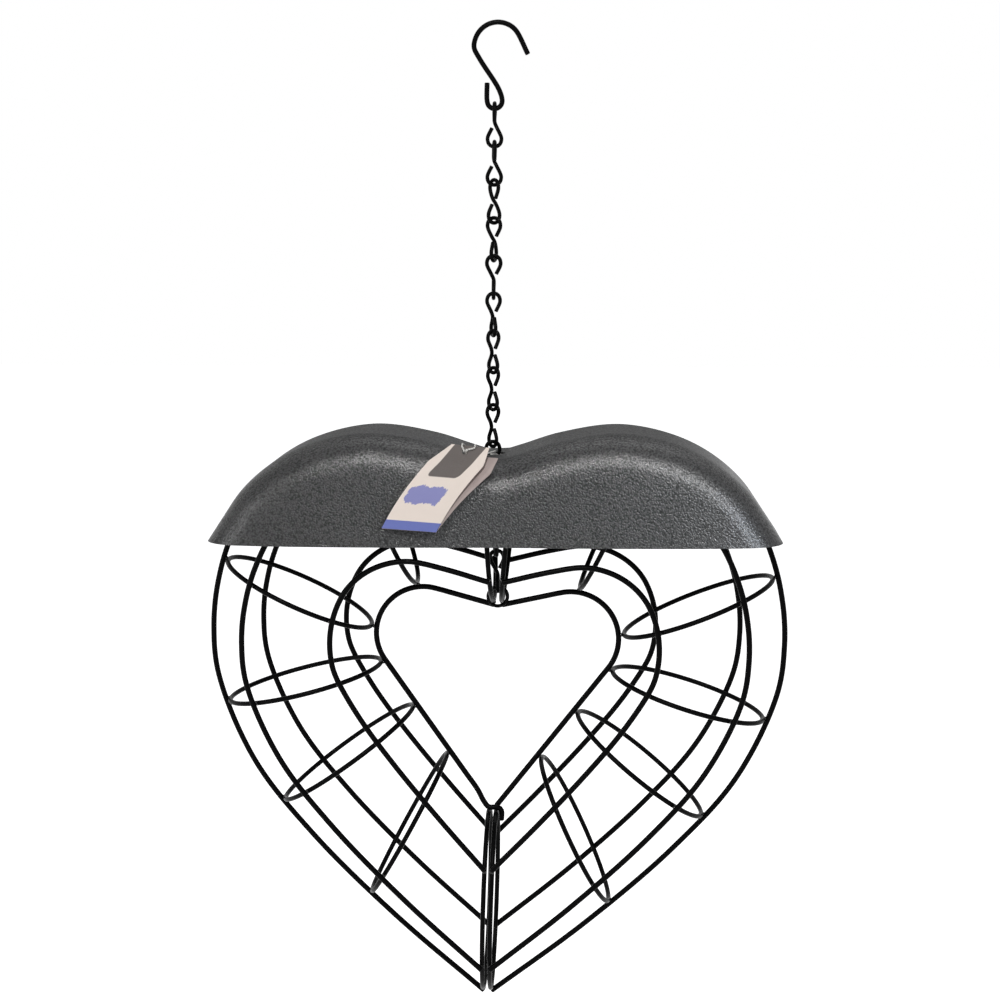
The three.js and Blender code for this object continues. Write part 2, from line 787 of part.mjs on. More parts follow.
const feeder = new THREE.Group();
feeder.add(piece("s_hook", makeHook(), blackPaint));
linkTurns.forEach((turn, i) => {
  const name = `chain_link_${String(i + 1).padStart(2, "0")}`;
  feeder.add(piece(name, makeLink(turn, i + 1), blackPaint));
});
feeder.add(piece("hanging_ring", makeRing(), blackPaint));
feeder.add(makeHalf("left", -1));
feeder.add(makeHalf("right", 1));
feeder.add(piece("roof", makeRoof(), hammeredPaint));
feeder.add(piece("swing_tag", makeTag(), creamCard));
feeder.add(piece("tag_thread", makeThread(), whiteThread));

export default feeder;
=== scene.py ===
"""Dresses a hanging, heart-shaped suet feeder: wire cage, hammered roof, jack chain, hook and tag.

Lengths are in millimetres until a mesh is made. The origin is where the hook bears on what it
hangs from, +Z is up along the chain, +X is to the right and the front faces -Y.
"""

import logging
import math
from collections.abc import Callable
from dataclasses import dataclass, field
from enum import Enum

import bpy
import numpy as np
from mathutils import Euler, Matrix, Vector, noise


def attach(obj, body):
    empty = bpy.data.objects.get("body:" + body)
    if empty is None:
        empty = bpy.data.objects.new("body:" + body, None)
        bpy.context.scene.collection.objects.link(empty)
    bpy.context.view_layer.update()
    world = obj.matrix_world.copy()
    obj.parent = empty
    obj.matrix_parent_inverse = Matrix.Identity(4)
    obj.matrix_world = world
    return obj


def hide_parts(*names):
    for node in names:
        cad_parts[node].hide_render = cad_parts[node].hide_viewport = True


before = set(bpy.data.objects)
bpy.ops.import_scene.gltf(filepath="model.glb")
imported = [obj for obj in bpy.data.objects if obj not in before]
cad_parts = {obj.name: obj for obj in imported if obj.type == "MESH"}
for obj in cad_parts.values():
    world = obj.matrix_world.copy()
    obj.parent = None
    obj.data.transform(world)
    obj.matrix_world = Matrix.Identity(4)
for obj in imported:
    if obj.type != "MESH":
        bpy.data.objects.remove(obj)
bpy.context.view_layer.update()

LOG = logging.getLogger("feeder")
METRES = 0.001
SHARP_ANGLE = math.radians(38)
SQUARE = np.array([(-1, -1), (1, -1), (1, 1), (-1, 1)])
NOISE_ENDS = (0.3, 0.7)
RISING, FALLING = (0.0, 1.0), (1.0, 0.0)

Points = np.ndarray
Piece = bpy.types.Object
Node = bpy.types.Node
Socket = bpy.types.NodeSocket
Material = bpy.types.Material
Skin = Callable[[float, float], Points]


class Side(Enum):
    """The two halves of the cage."""

    LEFT = "left"
    RIGHT = "right"

    @property
    def across(self) -> float:
        """Returns the factor that turns a place of the left half into one of this half."""
        return 1.0 if self is Side.LEFT else -1.0


class Shade(Enum):
    """How a mesh is shaded."""

    ROUND = "round"
    CREASED = "creased"


# Curves


def polar(radius: float, angle: float) -> tuple[float, float]:
    """Returns the two coordinates of a place on a circle, from an angle in degrees."""
    return radius * math.cos(math.radians(angle)), radius * math.sin(math.radians(angle))


def unit(v: Points) -> Points:
    """Returns a vector, or each row of a list of vectors, at length one."""
    return v / np.linalg.norm(v, axis=-1, keepdims=True)


def cubic(start: Points, end: Points, leave: Points, arrive: Points, t: Points | float) -> Points:
    """Returns the place at a share of a curve, from its two ends and its speeds there."""
    bulge, twist = 3 * (end - start) - 2 * leave - arrive, 2 * (start - end) + leave + arrive
    return start + leave * t + bulge * t**2 + twist * t**3


def smooth_line(points: Points, steps: int = 10) -> Points:
    """Runs a centripetal curve through places.

    Args:
        points: The places, one in each row.
        steps: How many stretches each gap between two places gets.

    Returns:
        The places on the curve.
    """
    least = 1e-4
    places = np.asarray(points, dtype=float)
    padded = np.vstack([2 * places[0] - places[1], places, 2 * places[-1] - places[-2]])
    shares = np.linspace(0, 1, steps, endpoint=False)[:, None]
    out = []
    for a, b, c, d in zip(padded, padded[1:], padded[2:], padded[3:]):
        gaps = (math.sqrt(float(np.linalg.norm(q - p))) for p, q in ((a, b), (b, c), (c, d)))
        first, middle, last = gaps
        middle = max(middle, least)
        first = first if first > least else middle
        last = last if last > least else middle
        leave = ((b - a) / first - (c - a) / (first + middle) + (c - b) / middle) * middle
        arrive = ((c - b) / middle - (d - b) / (middle + last) + (d - c) / last) * middle
        out.append(cubic(b, c, leave, arrive, shares))
    return np.vstack([*out, places[-1]])


def lengths_along(line: Points) -> Points:
    """Returns the length along a line at each of its places."""
    return np.concatenate([[0.0], np.cumsum(np.linalg.norm(np.diff(line, axis=0), axis=1))])


def at_shares(line: Points, shares: Points) -> Points:
    """Finds the places at shares of the whole length of a line.

    Args:
        line: The line's places.
        shares: The shares, from nothing to one.

    Returns:
        A place for each share.
    """
    along = lengths_along(line)
    wanted = np.asarray(shares, dtype=float) * along[-1]
    return np.stack([np.interp(wanted, along, line[:, i]) for i in range(line.shape[1])], axis=1)


def evenly(line: Points, count: int) -> Points:
    """Returns a number of places spread evenly along a line."""
    return at_shares(line, np.linspace(0, 1, count))


def leaned(places: Points, angle: float, shift: Points | tuple) -> Points:
    """Leans places to the right about the depth axis, and then moves them.

    Args:
        places: The places, one in each row.
        angle: How far they lean, in degrees.
        shift: How far they move.

    Returns:
        The places where they end.
    """
    c, s = polar(1, angle)
    x, y, z = places.T
    return np.stack([x * c + z * s, y, z * c - x * s], axis=1) + shift


# Meshes


def make_mesh(name: str, places: Points, faces: list, shade: Shade = Shade.ROUND) -> Piece:
    """Makes a mesh object from places in millimetres.

    Args:
        name: The piece's name.
        places: One place in each row, in millimetres.
        faces: Lists of place numbers.
        shade: Whether sharp edges stay sharp.

    Returns:
        The new object, linked into the scene.
    """
    mesh = bpy.data.meshes.new(name)
    mesh.from_pydata((np.asarray(places) * METRES).tolist(), [], faces)
    mesh.validate()
    mesh.update()
    mesh.shade_smooth()
    if shade is Shade.CREASED:
        mesh.set_sharp_from_angle(angle=SHARP_ANGLE)
    piece = bpy.data.objects.new(name, mesh)
    bpy.context.scene.collection.objects.link(piece)
    return piece


def grid_faces(grid: np.ndarray, flip: bool = False) -> list:
    """Lists the faces between neighbours in a grid of place numbers.

    Args:
        grid: The numbers, by row and column.
        flip: Whether the faces look the other way.

    Returns:
        The faces, with four places each.
    """
    corners = [grid[:-1, :-1], grid[1:, :-1], grid[1:, 1:], grid[:-1, 1:]]
    if flip:
        corners[1], corners[3] = corners[3], corners[1]
    return np.stack(corners, axis=-1).reshape(-1, 4).tolist()


def wrapped(grid: np.ndarray) -> np.ndarray:
    """Returns a grid of place numbers with its first column again at its end."""
    return np.hstack([grid, grid[:, :1]])


def prism(name: str, low: Points, high: Points) -> Piece:
    """Makes a closed shape between two rims, to cut with.

    Args:
        name: Its name.
        low: The places of one rim.
        high: The places of the other rim, in the same turn.

    Returns:
        The shape.
    """
    rims = np.arange(2 * len(low)).reshape(2, -1)
    faces = grid_faces(wrapped(rims), flip=True) + [rims[0, ::-1].tolist(), rims[1].tolist()]
    return make_mesh(name, np.vstack([low, high]), faces)


def ball(rows: int, columns: int, skin: Skin, poles: list) -> tuple[list, list]:
    """Makes the places and the faces of a lumpy ball.

    Args:
        rows: How many rows of faces it has from pole to pole.
        columns: How many places each row has.
        skin: Gives a place of its skin, from the angles down from the pole and round the ball.
        poles: Its top and its bottom.

    Returns:
        Its places and its faces.
    """
    downs, turns = math.pi * np.arange(1, rows) / rows, 2 * math.pi * np.arange(columns) / columns
    places = [skin(float(down), float(turn)) for down in downs for turn in turns] + poles
    grid = wrapped(np.arange((rows - 1) * columns).reshape(-1, columns))
    top, bottom = len(places) - 2, len(places) - 1
    caps = [[top, int(a), int(b)] for a, b in zip(grid[0], grid[0, 1:])]
    caps += [[bottom, int(b), int(a)] for a, b in zip(grid[-1], grid[-1, 1:])]
    return places, grid_faces(grid) + caps


def carried_frames(line: Points, closed: bool) -> tuple[Points, Points]:
    """Carries two directions along a line, square to it and turning as little as they can.

    Args:
        line: The line's places.
        closed: Whether its end leads back to its start.

    Returns:
        The two directions at each place.
    """
    least = 0.1
    if closed:
        along = unit(np.roll(line, -1, axis=0) - np.roll(line, 1, axis=0))
    else:
        along = unit(np.gradient(line, axis=0))
    start = np.cross(along[0], (0.0, 0.0, 1.0))
    if np.linalg.norm(start) < least:
        start = np.cross(along[0], (0.0, 1.0, 0.0))
    out = [unit(start)]
    for direction in along[1:]:
        out.append(unit(out[-1] - direction * np.dot(out[-1], direction)))
    first = np.array(out)
    second = np.cross(along, first)
    if closed:
        back = first[-1] - along[0] * np.dot(first[-1], along[0])
        turn = math.atan2(float(np.dot(back, second[0])), float(np.dot(back, first[0])))
        spread = -turn * np.arange(len(line))[:, None] / len(line)
        c, s = np.cos(spread), np.sin(spread)
        first, second = first * c + second * s, second * c - first * s
    return first, second


def wire(name: str, line: Points, diameter: float, sides: int = 12, closed: bool = False) -> Piece:
    """Makes a round wire along a line, with slightly broken edges at its cut ends.

    Args:
        name: The piece's name.
        line: The wire's middle, in millimetres.
        diameter: The wire's thickness.
        sides: How many sides the round section has.
        closed: Whether the wire has no ends.

    Returns:
        The wire's object.
    """
    edge_share = 0.22
    radius = diameter / 2
    edge = 0.0 if closed else edge_share * radius
    if edge:
        share = [edge / lengths_along(line)[-1]]
        near, far = at_shares(line, share), at_shares(line[::-1], share)
        line = np.vstack([line[:1], near, line[1:-1], far, line[-1:]])
    radii = np.full((len(line), 1, 1), radius)
    radii[[0, -1]] -= edge
    first, second = carried_frames(line, closed)
    angles = np.linspace(0, 2 * math.pi, sides, endpoint=False)[None, :, None]
    spokes = np.cos(angles) * first[:, None] + np.sin(angles) * second[:, None]
    rims = line[:, None] + radii * spokes
    rings = np.arange(len(line) * sides).reshape(-1, sides)
    if closed:
        faces = grid_faces(wrapped(np.vstack([rings, rings[:1]])), flip=True)
    else:
        caps = [rings[0, ::-1].tolist(), rings[-1].tolist()]
        faces = grid_faces(wrapped(rings), flip=True) + caps
    return make_mesh(name, rims.reshape(-1, 3), faces, Shade.ROUND if closed else Shade.CREASED)


def carve(piece: Piece, *tools: Piece) -> None:
    """Cuts closed tool shapes out of a piece, and takes the tools away.

    Args:
        piece: The piece.
        tools: The shapes to cut out of it.
    """
    for tool in tools:
        step = piece.modifiers.new(tool.name, "BOOLEAN")
        step.operation, step.solver, step.object = "DIFFERENCE", "EXACT", tool
    view = bpy.context.evaluated_depsgraph_get()
    made = bpy.data.meshes.new_from_object(piece.evaluated_get(view))
    piece.modifiers.clear()
    piece.data = made
    made.shade_smooth()
    made.set_sharp_from_angle(angle=SHARP_ANGLE)
    for tool in tools:
        bpy.data.objects.remove(tool, do_unlink=True)


def dress(piece: Piece, body: str, finish: "Finish", slot: str, *nodes: str) -> None:
    """Gives a piece its finish and ties it to the body it moves with.

    Args:
        piece: The piece.
        body: The body it rides on.
        finish: Its finish.
        slot: Not used.
        nodes: The solids that it stands for.
    """
    piece.data.materials.append(finish.material())
    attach(piece, body)
    if nodes:
        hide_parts(*nodes)
    LOG.info("%s rides on %s, %d faces", piece.name, body, len(piece.data.polygons))


# Finishes


class Web:
    """The nodes of one material or world, with short ways to add and join them."""

    def __init__(self, name: str, kind: str = "Material") -> None:
        """Starts an empty web and its output.

        Args:
            name: The name of what the web makes.
            kind: Material or World.
        """
        store = bpy.data.materials if kind == "Material" else bpy.data.worlds
        self.made = store.new(name)
        self.made.use_nodes = True
        self.tree = self.made.node_tree
        self.tree.nodes.clear()
        self.output = self.tree.nodes.new(f"ShaderNodeOutput{kind}")

    def add(self, kind: str, settings: dict | None = None, **sockets: object) -> Node:
        """Adds a node.

        Args:
            kind: The node's type, without its ShaderNode prefix.
            settings: Properties of the node.
            sockets: Input names, with _ for a space, each with a value or a socket to join to it.

        Returns:
            The new node.
        """
        made = self.tree.nodes.new("ShaderNode" + kind)
        for key, value in (settings or {}).items():
            setattr(made, key, value)
        for key, value in sockets.items():
            self.set(made, key.replace("_", " "), value)
        return made

    def set(self, made: Node, key: str | int, value: object) -> None:
        """Sets an input of a node, or joins another node's output to it.

        Args:
            made: The node.
            key: The input's name or number.
            value: A value or a socket.
        """
        if isinstance(value, Socket):
            self.tree.links.new(value, made.inputs[key])
        else:
            made.inputs[key].default_value = value

    def fed(self, made: Node, *values: object, first: int = 0) -> Node:
        """Sets the inputs of a node in turn.

        Args:
            made: The node.
            values: The inputs' values or sockets.
            first: The number of the first input.

        Returns:
            The same node.
        """
        for i, value in enumerate(values, first):
            self.set(made, i, value)
        return made

    def work(self, operation: str, *values: object) -> Socket:
        """Returns what a Math node makes of its inputs."""
        return self.fed(self.add("Math", {"operation": operation}), *values).outputs[0]

    def times(self, a: object, b: object) -> Socket:
        """Returns a product."""
        return self.work("MULTIPLY", a, b)

    def plus(self, a: object, b: object) -> Socket:
        """Returns a sum."""
        return self.work("ADD", a, b)

    def blend(self, share: object, a: object, b: object) -> Socket:
        """Returns a colour that goes from a to b with a share."""
        made = self.fed(self.add("Mix", {"data_type": "RGBA"}), share)
        return self.fed(made, a, b, first=6).outputs[2]

    def span(self, value: object, *ends: float) -> Socket:
        """Returns a value moved from the range of the first two ends to that of the last two."""
        return self.fed(self.add("MapRange"), value, *ends).outputs[0]

    def place(self, kind: str = "Object") -> Socket:
        """Returns the place on the piece, in its own frame or in its map."""
        return self.add("TexCoord").outputs[kind]

    def noise(self, place: object, scale: float, detail: float, rough: float = 0.5) -> Socket:
        """Returns the level of a noise."""
        made = self.add("TexNoise", Vector=place, Scale=scale, Detail=detail, Roughness=rough)
        return made.outputs["Fac"]

    def coat(self, height: object, strength: float, depth: float, **sockets: object) -> Material:
        """Returns the material of a surface with a bump, from the bump and the surface's inputs."""
        bump = self.add("Bump", Strength=strength, Distance=depth, Height=height)
        return self.finish(self.add("BsdfPrincipled", Normal=bump.outputs[0], **sockets))

    def finish(self, surface: Node) -> Material | bpy.types.World:
        """Joins the surface to the output and returns what the web makes."""
        self.tree.links.new(surface.outputs[0], self.output.inputs["Surface"])
        return self.made


class Finish:
    """A finish that builds its material once."""

    _made: dict = {}

    def material(self) -> Material:
        """Builds the finish's material the first time it is asked for.

        Returns:
            The material.
        """
        if self not in Finish._made:
            Finish._made[self] = self.build()
        return Finish._made[self]

    def build(self) -> Material:
        """Builds the material."""
        raise NotImplementedError


@dataclass(frozen=True)
class BlackWirePaint(Finish):
    """Gloss black dipped paint over wire, with soft ripples and a few thin, greyer places."""

    name: str = "black_wire_paint"
    dark: tuple = (0.0022, 0.0022, 0.0024, 1)
    pale: tuple = (0.009, 0.009, 0.0095, 1)
    gloss: tuple = (0.22, 0.42)
    shine: float = 0.03
    clouds: tuple = (260.0, 3.0, 0.6)
    cloud_height: float = 1.6
    ripples: tuple = (900.0, 2.0)
    specks: float = 420.0
    speck_edge: tuple = (0.0, 0.22)
    thin_edge: tuple = (0.56, 0.72)
    strength: float = 0.22
    depth: float = 0.00025

    def build(self) -> Material:
        """Builds the paint.

        Returns:
            The material.
        """
        web = Web(self.name)
        place = web.place()
        cloud, ripple = web.noise(place, *self.clouds), web.noise(place, *self.ripples)
        speck = web.add("TexVoronoi", Vector=place, Scale=self.specks).outputs["Distance"]
        spots = web.span(speck, *self.speck_edge, *FALLING)
        thin = web.times(web.span(cloud, *self.thin_edge, *RISING), spots)
        return web.coat(
            web.plus(ripple, web.times(cloud, self.cloud_height)),
            self.strength,
            self.depth,
            Base_Color=web.blend(thin, self.dark, self.pale),
            Roughness=web.span(cloud, *NOISE_ENDS, *self.gloss),
            Specular_IOR_Level=self.shine,
        )


@dataclass(frozen=True)
class HammeredPaint(Finish):
    """Dark grey hammered metal paint: pebbled cells on the walls with painted shade in their pits,
    softer on the flat crown.
    """

    name: str = "hammered_paint"
    # The darker colour is painted shade for the pebble pits; the lighter one is for the raised
    # tops.
    pit_shade: tuple = (0.002, 0.002, 0.0021, 1)
    rise: tuple = (0.009, 0.009, 0.0093, 1)
    cell: float = 0.00095
    cell_blend: float = 0.45
    wander: tuple = (0.35, 2.0)
    wander_reach: float = 1.1
    grain: tuple = (1.1, 1.0, 0.4)
    grain_height: float = 0.8
    clouds: tuple = (34.0, 2.0)
    cloud_tone: float = 0.06
    lump: tuple = (0.08, 0.62, 0.62, 0.0)
    # Turns pebble height into painted shade: the pits darker, the tops lighter.
    lit: tuple = (0.35, 1.0, 0.0, 1.0)
    middle: float = 0.45
    wall: tuple = (0.8, 0.99, 1.0, 0.3)
    flat: tuple = (0.75, 0.97, 0.0, 0.3)
    shine: tuple = (0.75, 0.97, 0.46, 0.18)
    pit_shine: tuple = (0.25, 0.6, 0.4, 1.0)
    rough: tuple = (0.3, 1.0, 0.44, 0.31)
    strength: float = 1.0
    depth: float = 0.00014

    def build(self) -> Material:
        """Builds the paint.

        Returns:
            The material.
        """
        web = Web(self.name)
        place = web.place()
        scale, detail = self.wander
        wander = web.add("TexNoise", Vector=place, Scale=scale / self.cell, Detail=detail).outputs
        reach, moved = self.wander_reach * self.cell, web.add("VectorMath", {"operation": "ADD"})
        shift = web.add("VectorMath", {"operation": "SCALE"}, Vector=wander["Color"], Scale=reach)
        bent = web.fed(moved, place, shift.outputs[0]).outputs[0]
        smooth = {"feature": "SMOOTH_F1"}
        form = {"Scale": 1 / self.cell, "Smoothness": self.cell_blend}
        cells = web.add("TexVoronoi", smooth, Vector=bent, **form)
        scale, *form = self.grain
        grain = web.times(web.noise(bent, scale / self.cell, *form), self.grain_height)
        pebble = web.plus(web.span(cells.outputs["Distance"], *self.lump), grain)
        normal = web.add("NewGeometry").outputs["True Normal"]
        level = web.add("SeparateXYZ", Vector=normal).outputs["Z"]
        wall, flat = web.span(level, *self.wall), web.span(level, *self.flat)
        # Painted shade: the colour darkens into the pebble pits, on the walls only.
        lift = web.work("SUBTRACT", web.span(pebble, *self.lit), self.middle)
        pit_shade_tone = web.plus(web.times(lift, wall), self.middle)
        tones = (-self.cloud_tone, self.cloud_tone)
        cloud = web.span(web.noise(place, *self.clouds), *NOISE_ENDS, *tones)
        shine = web.times(web.span(level, *self.shine), web.span(pebble, *self.pit_shine))
        return web.coat(
            web.times(pebble, wall),
            self.strength,
            self.depth,
            Base_Color=web.blend(web.plus(pit_shade_tone, cloud), self.pit_shade, self.rise),
            Roughness=web.plus(web.span(pebble, *self.rough), flat),
            Specular_IOR_Level=shine,
        )


@dataclass(frozen=True)
class PrintedCard(Finish):
    """Cream card with a dark panel, a blue swatch and a blue band, placed by the card's map."""

    name: str = "printed_card"
    cream: tuple = (0.86, 0.76, 0.69, 1)
    worn: tuple = (0.74, 0.64, 0.57, 1)
    panel: tuple = (0.1, 0.084, 0.078, 1)
    swatch: tuple = (0.185, 0.2, 0.5, 1)
    band: tuple = (0.13, 0.165, 0.47, 1)
    panel_middle: tuple = (0.495, -0.09)
    panel_half: tuple = (0.285, 0.305)
    panel_corner: float = 0.07
    panel_slant: float = 0.17
    swatch_middle: tuple = (0.41, 0.49)
    swatch_half: tuple = (0.33, 0.13)
    swatch_corner: float = 0.1
    swatch_cover: float = 0.92
    band_edge: tuple = (0.868, 0.874)
    tear: tuple = (9.0, 4.0, 0.7)
    tear_reach: float = 0.035
    clouds: tuple = (120.0, 2.0)
    wear: float = 0.12
    fibres: tuple = (2600.0, 3.0)
    rough: tuple = (0.5, 0.72)
    strength: float = 0.12
    depth: float = 0.0001

    def build(self) -> Material:
        """Builds the card.

        Returns:
            The material.
        """
        web = Web(self.name)
        chart, place = web.place("UV"), web.place()
        flat = web.add("SeparateXYZ", Vector=chart).outputs
        across, down = flat["X"], flat["Y"]
        torn = web.noise(chart, *self.tear)
        edge = web.span(torn, *NOISE_ENDS, -self.tear_reach, self.tear_reach)
        fibre, cloud = web.noise(place, *self.fibres), web.noise(place, *self.clouds)
        slanted = web.plus(across, web.times(down, self.panel_slant))
        form = (self.panel_middle, self.panel_half, self.panel_corner)
        panel = self.patch(web, slanted, down, *form, 0.0)
        form = (self.swatch_middle, self.swatch_half, self.swatch_corner)
        swatch = web.times(self.patch(web, across, down, *form, edge), self.swatch_cover)
        paper = web.blend(web.span(cloud, *NOISE_ENDS, 0.0, self.wear), self.cream, self.worn)
        colour = web.blend(swatch, web.blend(panel, paper, self.panel), self.swatch)
        return web.coat(
            fibre,
            self.strength,
            self.depth,
            Base_Color=web.blend(web.span(down, *self.band_edge, *RISING), colour, self.band),
            Roughness=web.span(fibre, *NOISE_ENDS, *self.rough),
        )

    @staticmethod
    def patch(
        web: Web,
        across: object,
        down: object,
        middle: tuple,
        half: tuple,
        corner: float,
        edge: object,
    ) -> Socket:
        """Marks a rounded patch on the card.

        Args:
            web: The material's nodes.
            across: The place across the card.
            down: The place down the card.
            middle: The patch's middle.
            half: Half its width and height.
            corner: Its corner radius.
            edge: What its edge is moved by, to roughen it.

        Returns:
            One inside the patch and nothing outside.
        """
        blur, squares = 0.006, []
        for place, centre, reach in zip((across, down), middle, half):
            away = web.work("ABSOLUTE", web.work("SUBTRACT", place, centre))
            beyond = web.work("MAXIMUM", web.work("SUBTRACT", away, reach - corner), 0.0)
            squares.append(web.times(beyond, beyond))
        distance = web.plus(web.work("SQRT", web.plus(*squares)), edge)
        return web.span(distance, corner - blur, corner + blur, *FALLING)


@dataclass(frozen=True)
class ShadedCardInside(Finish):
    """The tag's inner face: the card's cream, darkened by painted shade inside the fold."""

    name: str = "card_inside"
    # Both colours are the cream card darkened by painted shade; the worn one adds random wear on
    # top.
    paper: tuple = (0.5, 0.42, 0.4, 1)
    worn: tuple = (0.38, 0.31, 0.3, 1)
    clouds: tuple = (180.0, 3.0)
    wear: float = 0.8
    fibres: tuple = (2600.0, 3.0)
    rough: tuple = (0.7, 0.9)
    strength: float = 0.15
    depth: float = 0.0001

    def build(self) -> Material:
        """Builds the card's inner face.

        Returns:
            The material.
        """
        web = Web(self.name)
        place = web.place()
        cloud, fibre = web.noise(place, *self.clouds), web.noise(place, *self.fibres)
        wear = web.span(cloud, *NOISE_ENDS, 0.0, self.wear)
        return web.coat(
            fibre,
            self.strength,
            self.depth,
            Base_Color=web.blend(wear, self.paper, self.worn),
            Roughness=web.span(fibre, *NOISE_ENDS, *self.rough),
        )


@dataclass(frozen=True)
class TwistedThread(Finish):
    """White twisted cotton thread, with painted shade in the grooves between its strands."""

    name: str = "twisted_thread"
    bright: tuple = (0.82, 0.81, 0.78, 1)
    # The grey is painted shade in the grooves between the strands.
    groove_shade: tuple = (0.48, 0.47, 0.45, 1)
    strands: float = 420.0
    wobble: float = 2.0
    fluff: tuple = (4200.0, 2.0)
    fluff_height: float = 0.4
    rough: tuple = (0.75, 0.95)
    sheen: float = 0.2
    strength: float = 0.5
    depth: float = 0.0001

    def build(self) -> Material:
        """Builds the thread.

        Returns:
            The material.
        """
        web = Web(self.name)
        place, slant = web.place(), {"bands_direction": "DIAGONAL"}
        form = {"Scale": self.strands, "Distortion": self.wobble}
        twist = web.add("TexWave", slant, Vector=place, **form).outputs["Fac"]
        fluff = web.noise(place, *self.fluff)
        return web.coat(
            web.plus(twist, web.times(fluff, self.fluff_height)),
            self.strength,
            self.depth,
            Base_Color=web.blend(twist, self.groove_shade, self.bright),
            Roughness=web.span(fluff, *NOISE_ENDS, *self.rough),
            Sheen_Weight=self.sheen,
        )


PAINT = BlackWirePaint()
WELD_PAINT = BlackWirePaint(
    name="weld_paint",
    dark=(0.005, 0.005, 0.0053, 1),
    pale=(0.05, 0.051, 0.053, 1),
    gloss=(0.12, 0.26),
    shine=0.3,
)
HAMMERED = HammeredPaint()
PRINT = PrintedCard()
SHADED_INSIDE = ShadedCardInside()
COTTON = TwistedThread()


# Sub-assemblies


@dataclass(frozen=True)
class Hook:
    """The S-hook, bent from one round wire."""

    wire: float = 2.35
    bend_radius: float = 11.0
    bend_from: float = 42.0
    bend_turn: float = 163.0
    bend_places: int = 7
    tip_reach: float = 13.9
    tip_drop: float = 13.4
    eye_radius: float = 3.5
    eye_from: float = 10.0
    eye_step: float = 38.0
    eye_places: int = 6
    eye_drop: float = 37.9
    eye_side: float = -1.5
    tail: float = 8.3
    shank: tuple = ((-8.5, -15.2), (0.4, -29.0))
    places: int = 110
    sides: int = 16

    def line(self) -> Points:
        """Draws the middle of the hook's wire.

        Returns:
            Places from its open tip to its eye.
        """
        middle = self.wire / 2 - self.bend_radius
        eye = self.eye_radius - self.eye_drop
        path = [(self.tip_reach, 0, -self.tip_drop)]
        for i in range(self.bend_places):
            angle = self.bend_from + self.bend_turn * i / self.bend_places
            across, up = polar(self.bend_radius, angle)
            path.append((across, 0, middle + up))
        path += [(across, 0, up) for across, up in self.shank]
        for i in range(self.eye_places):
            across, up = polar(self.eye_radius, self.eye_from - self.eye_step * i)
            path.append((self.eye_side + across, 0, eye + up))
        path.append((self.eye_side - self.eye_radius, 0, eye + self.tail))
        return evenly(smooth_line(np.array(path)), self.places)

    def make(self) -> None:
        """Makes the hook."""
        made = wire("hook_wire", self.line(), self.wire, self.sides)
        dress(made, "hook", PAINT, "black_paint", "s_hook")


@dataclass(frozen=True)
class Chain:
    """A single jack chain: each link is one wire bent to two loops square to each other."""

    hook: Hook = field(default_factory=Hook)
    wire: float = 2.0
    pitch: float = 17.5
    loop_radius: float = 3.2
    loop_angles: tuple = (150, 120, 90, 60, 30)
    shoulder: float = 0.8
    end_height: float = 1.3
    end_gap: float = 0.25
    gap: float = 0.35
    turns: tuple = (0, 8, 40, 72, 92, 112, 132, 132, 127, 98, 90, 90, 90)
    single: int = 9
    spare: float = 0.14
    roof_side: float = -2.5
    roof_link: int = 10
    places: int = 96

    def crossing(self, number: int) -> float:
        """Returns the height of the crossing above a link."""
        return -self.hook.eye_drop + self.hook.wire / 2 + self.gap / 2 - (number - 1) * self.pitch

    def side(self, number: int) -> float:
        """Finds how far to the right the crossing above a link lies.

        Args:
            number: Which link, counted from the hook.

        Returns:
            The distance.
        """
        below = (number - self.roof_link) / (len(self.turns) + 1 - self.roof_link)
        if below > 0:
            return self.roof_side * (1 - below)
        share = (number - 1) / (self.roof_link - 1)
        return self.hook.eye_side + (self.roof_side - self.hook.eye_side) * share

    def line(self, turn: float, number: int) -> Points:
        """Draws the middle of a link's wire.

        Args:
            turn: The link's turn about the chain, in degrees.
            number: Which link, counted from the hook.

        Returns:
            Places along the wire.
        """
        half = self.pitch / 2 + self.gap / 2 + self.wire / 2
        side = (self.wire + self.end_gap) / 2
        reach = self.loop_radius
        waist = half - reach - self.shoulder
        arc = [(polar(reach, a)[0], half - reach + polar(reach, a)[1]) for a in self.loop_angles]
        start, end = (-side, self.end_height), (side, self.end_height)
        loop = [start, (-reach, waist), *arc, (reach, waist), end]
        upper = [(0.0, across, up) for across, up in loop]
        lower = [(across, 0.0, -up) for across, up in loop][::-1]
        x, y, z = evenly(smooth_line(np.array(upper + lower)), self.places).T
        c, s = polar(1, turn)
        turned = np.stack([x * c - y * s, x * s + y * c, z], axis=1)
        top, bottom = self.side(number), self.side(number + 1)
        middle = np.array([(top + bottom) / 2, 0.0, self.crossing(number) - self.pitch / 2])
        return leaned(turned, math.degrees(math.atan2(top - bottom, self.pitch)), middle)

    def make(self) -> None:
        """Makes every link."""
        for number, turn in enumerate(self.turns, 1):
            node = f"chain_link_{number:02d}"
            body = f"link_{number}" if number <= self.single else "feeder_frame"
            made = wire(f"jack_{node}", self.line(turn, number), self.wire - self.spare)
            dress(made, body, PAINT, "black_paint", node)


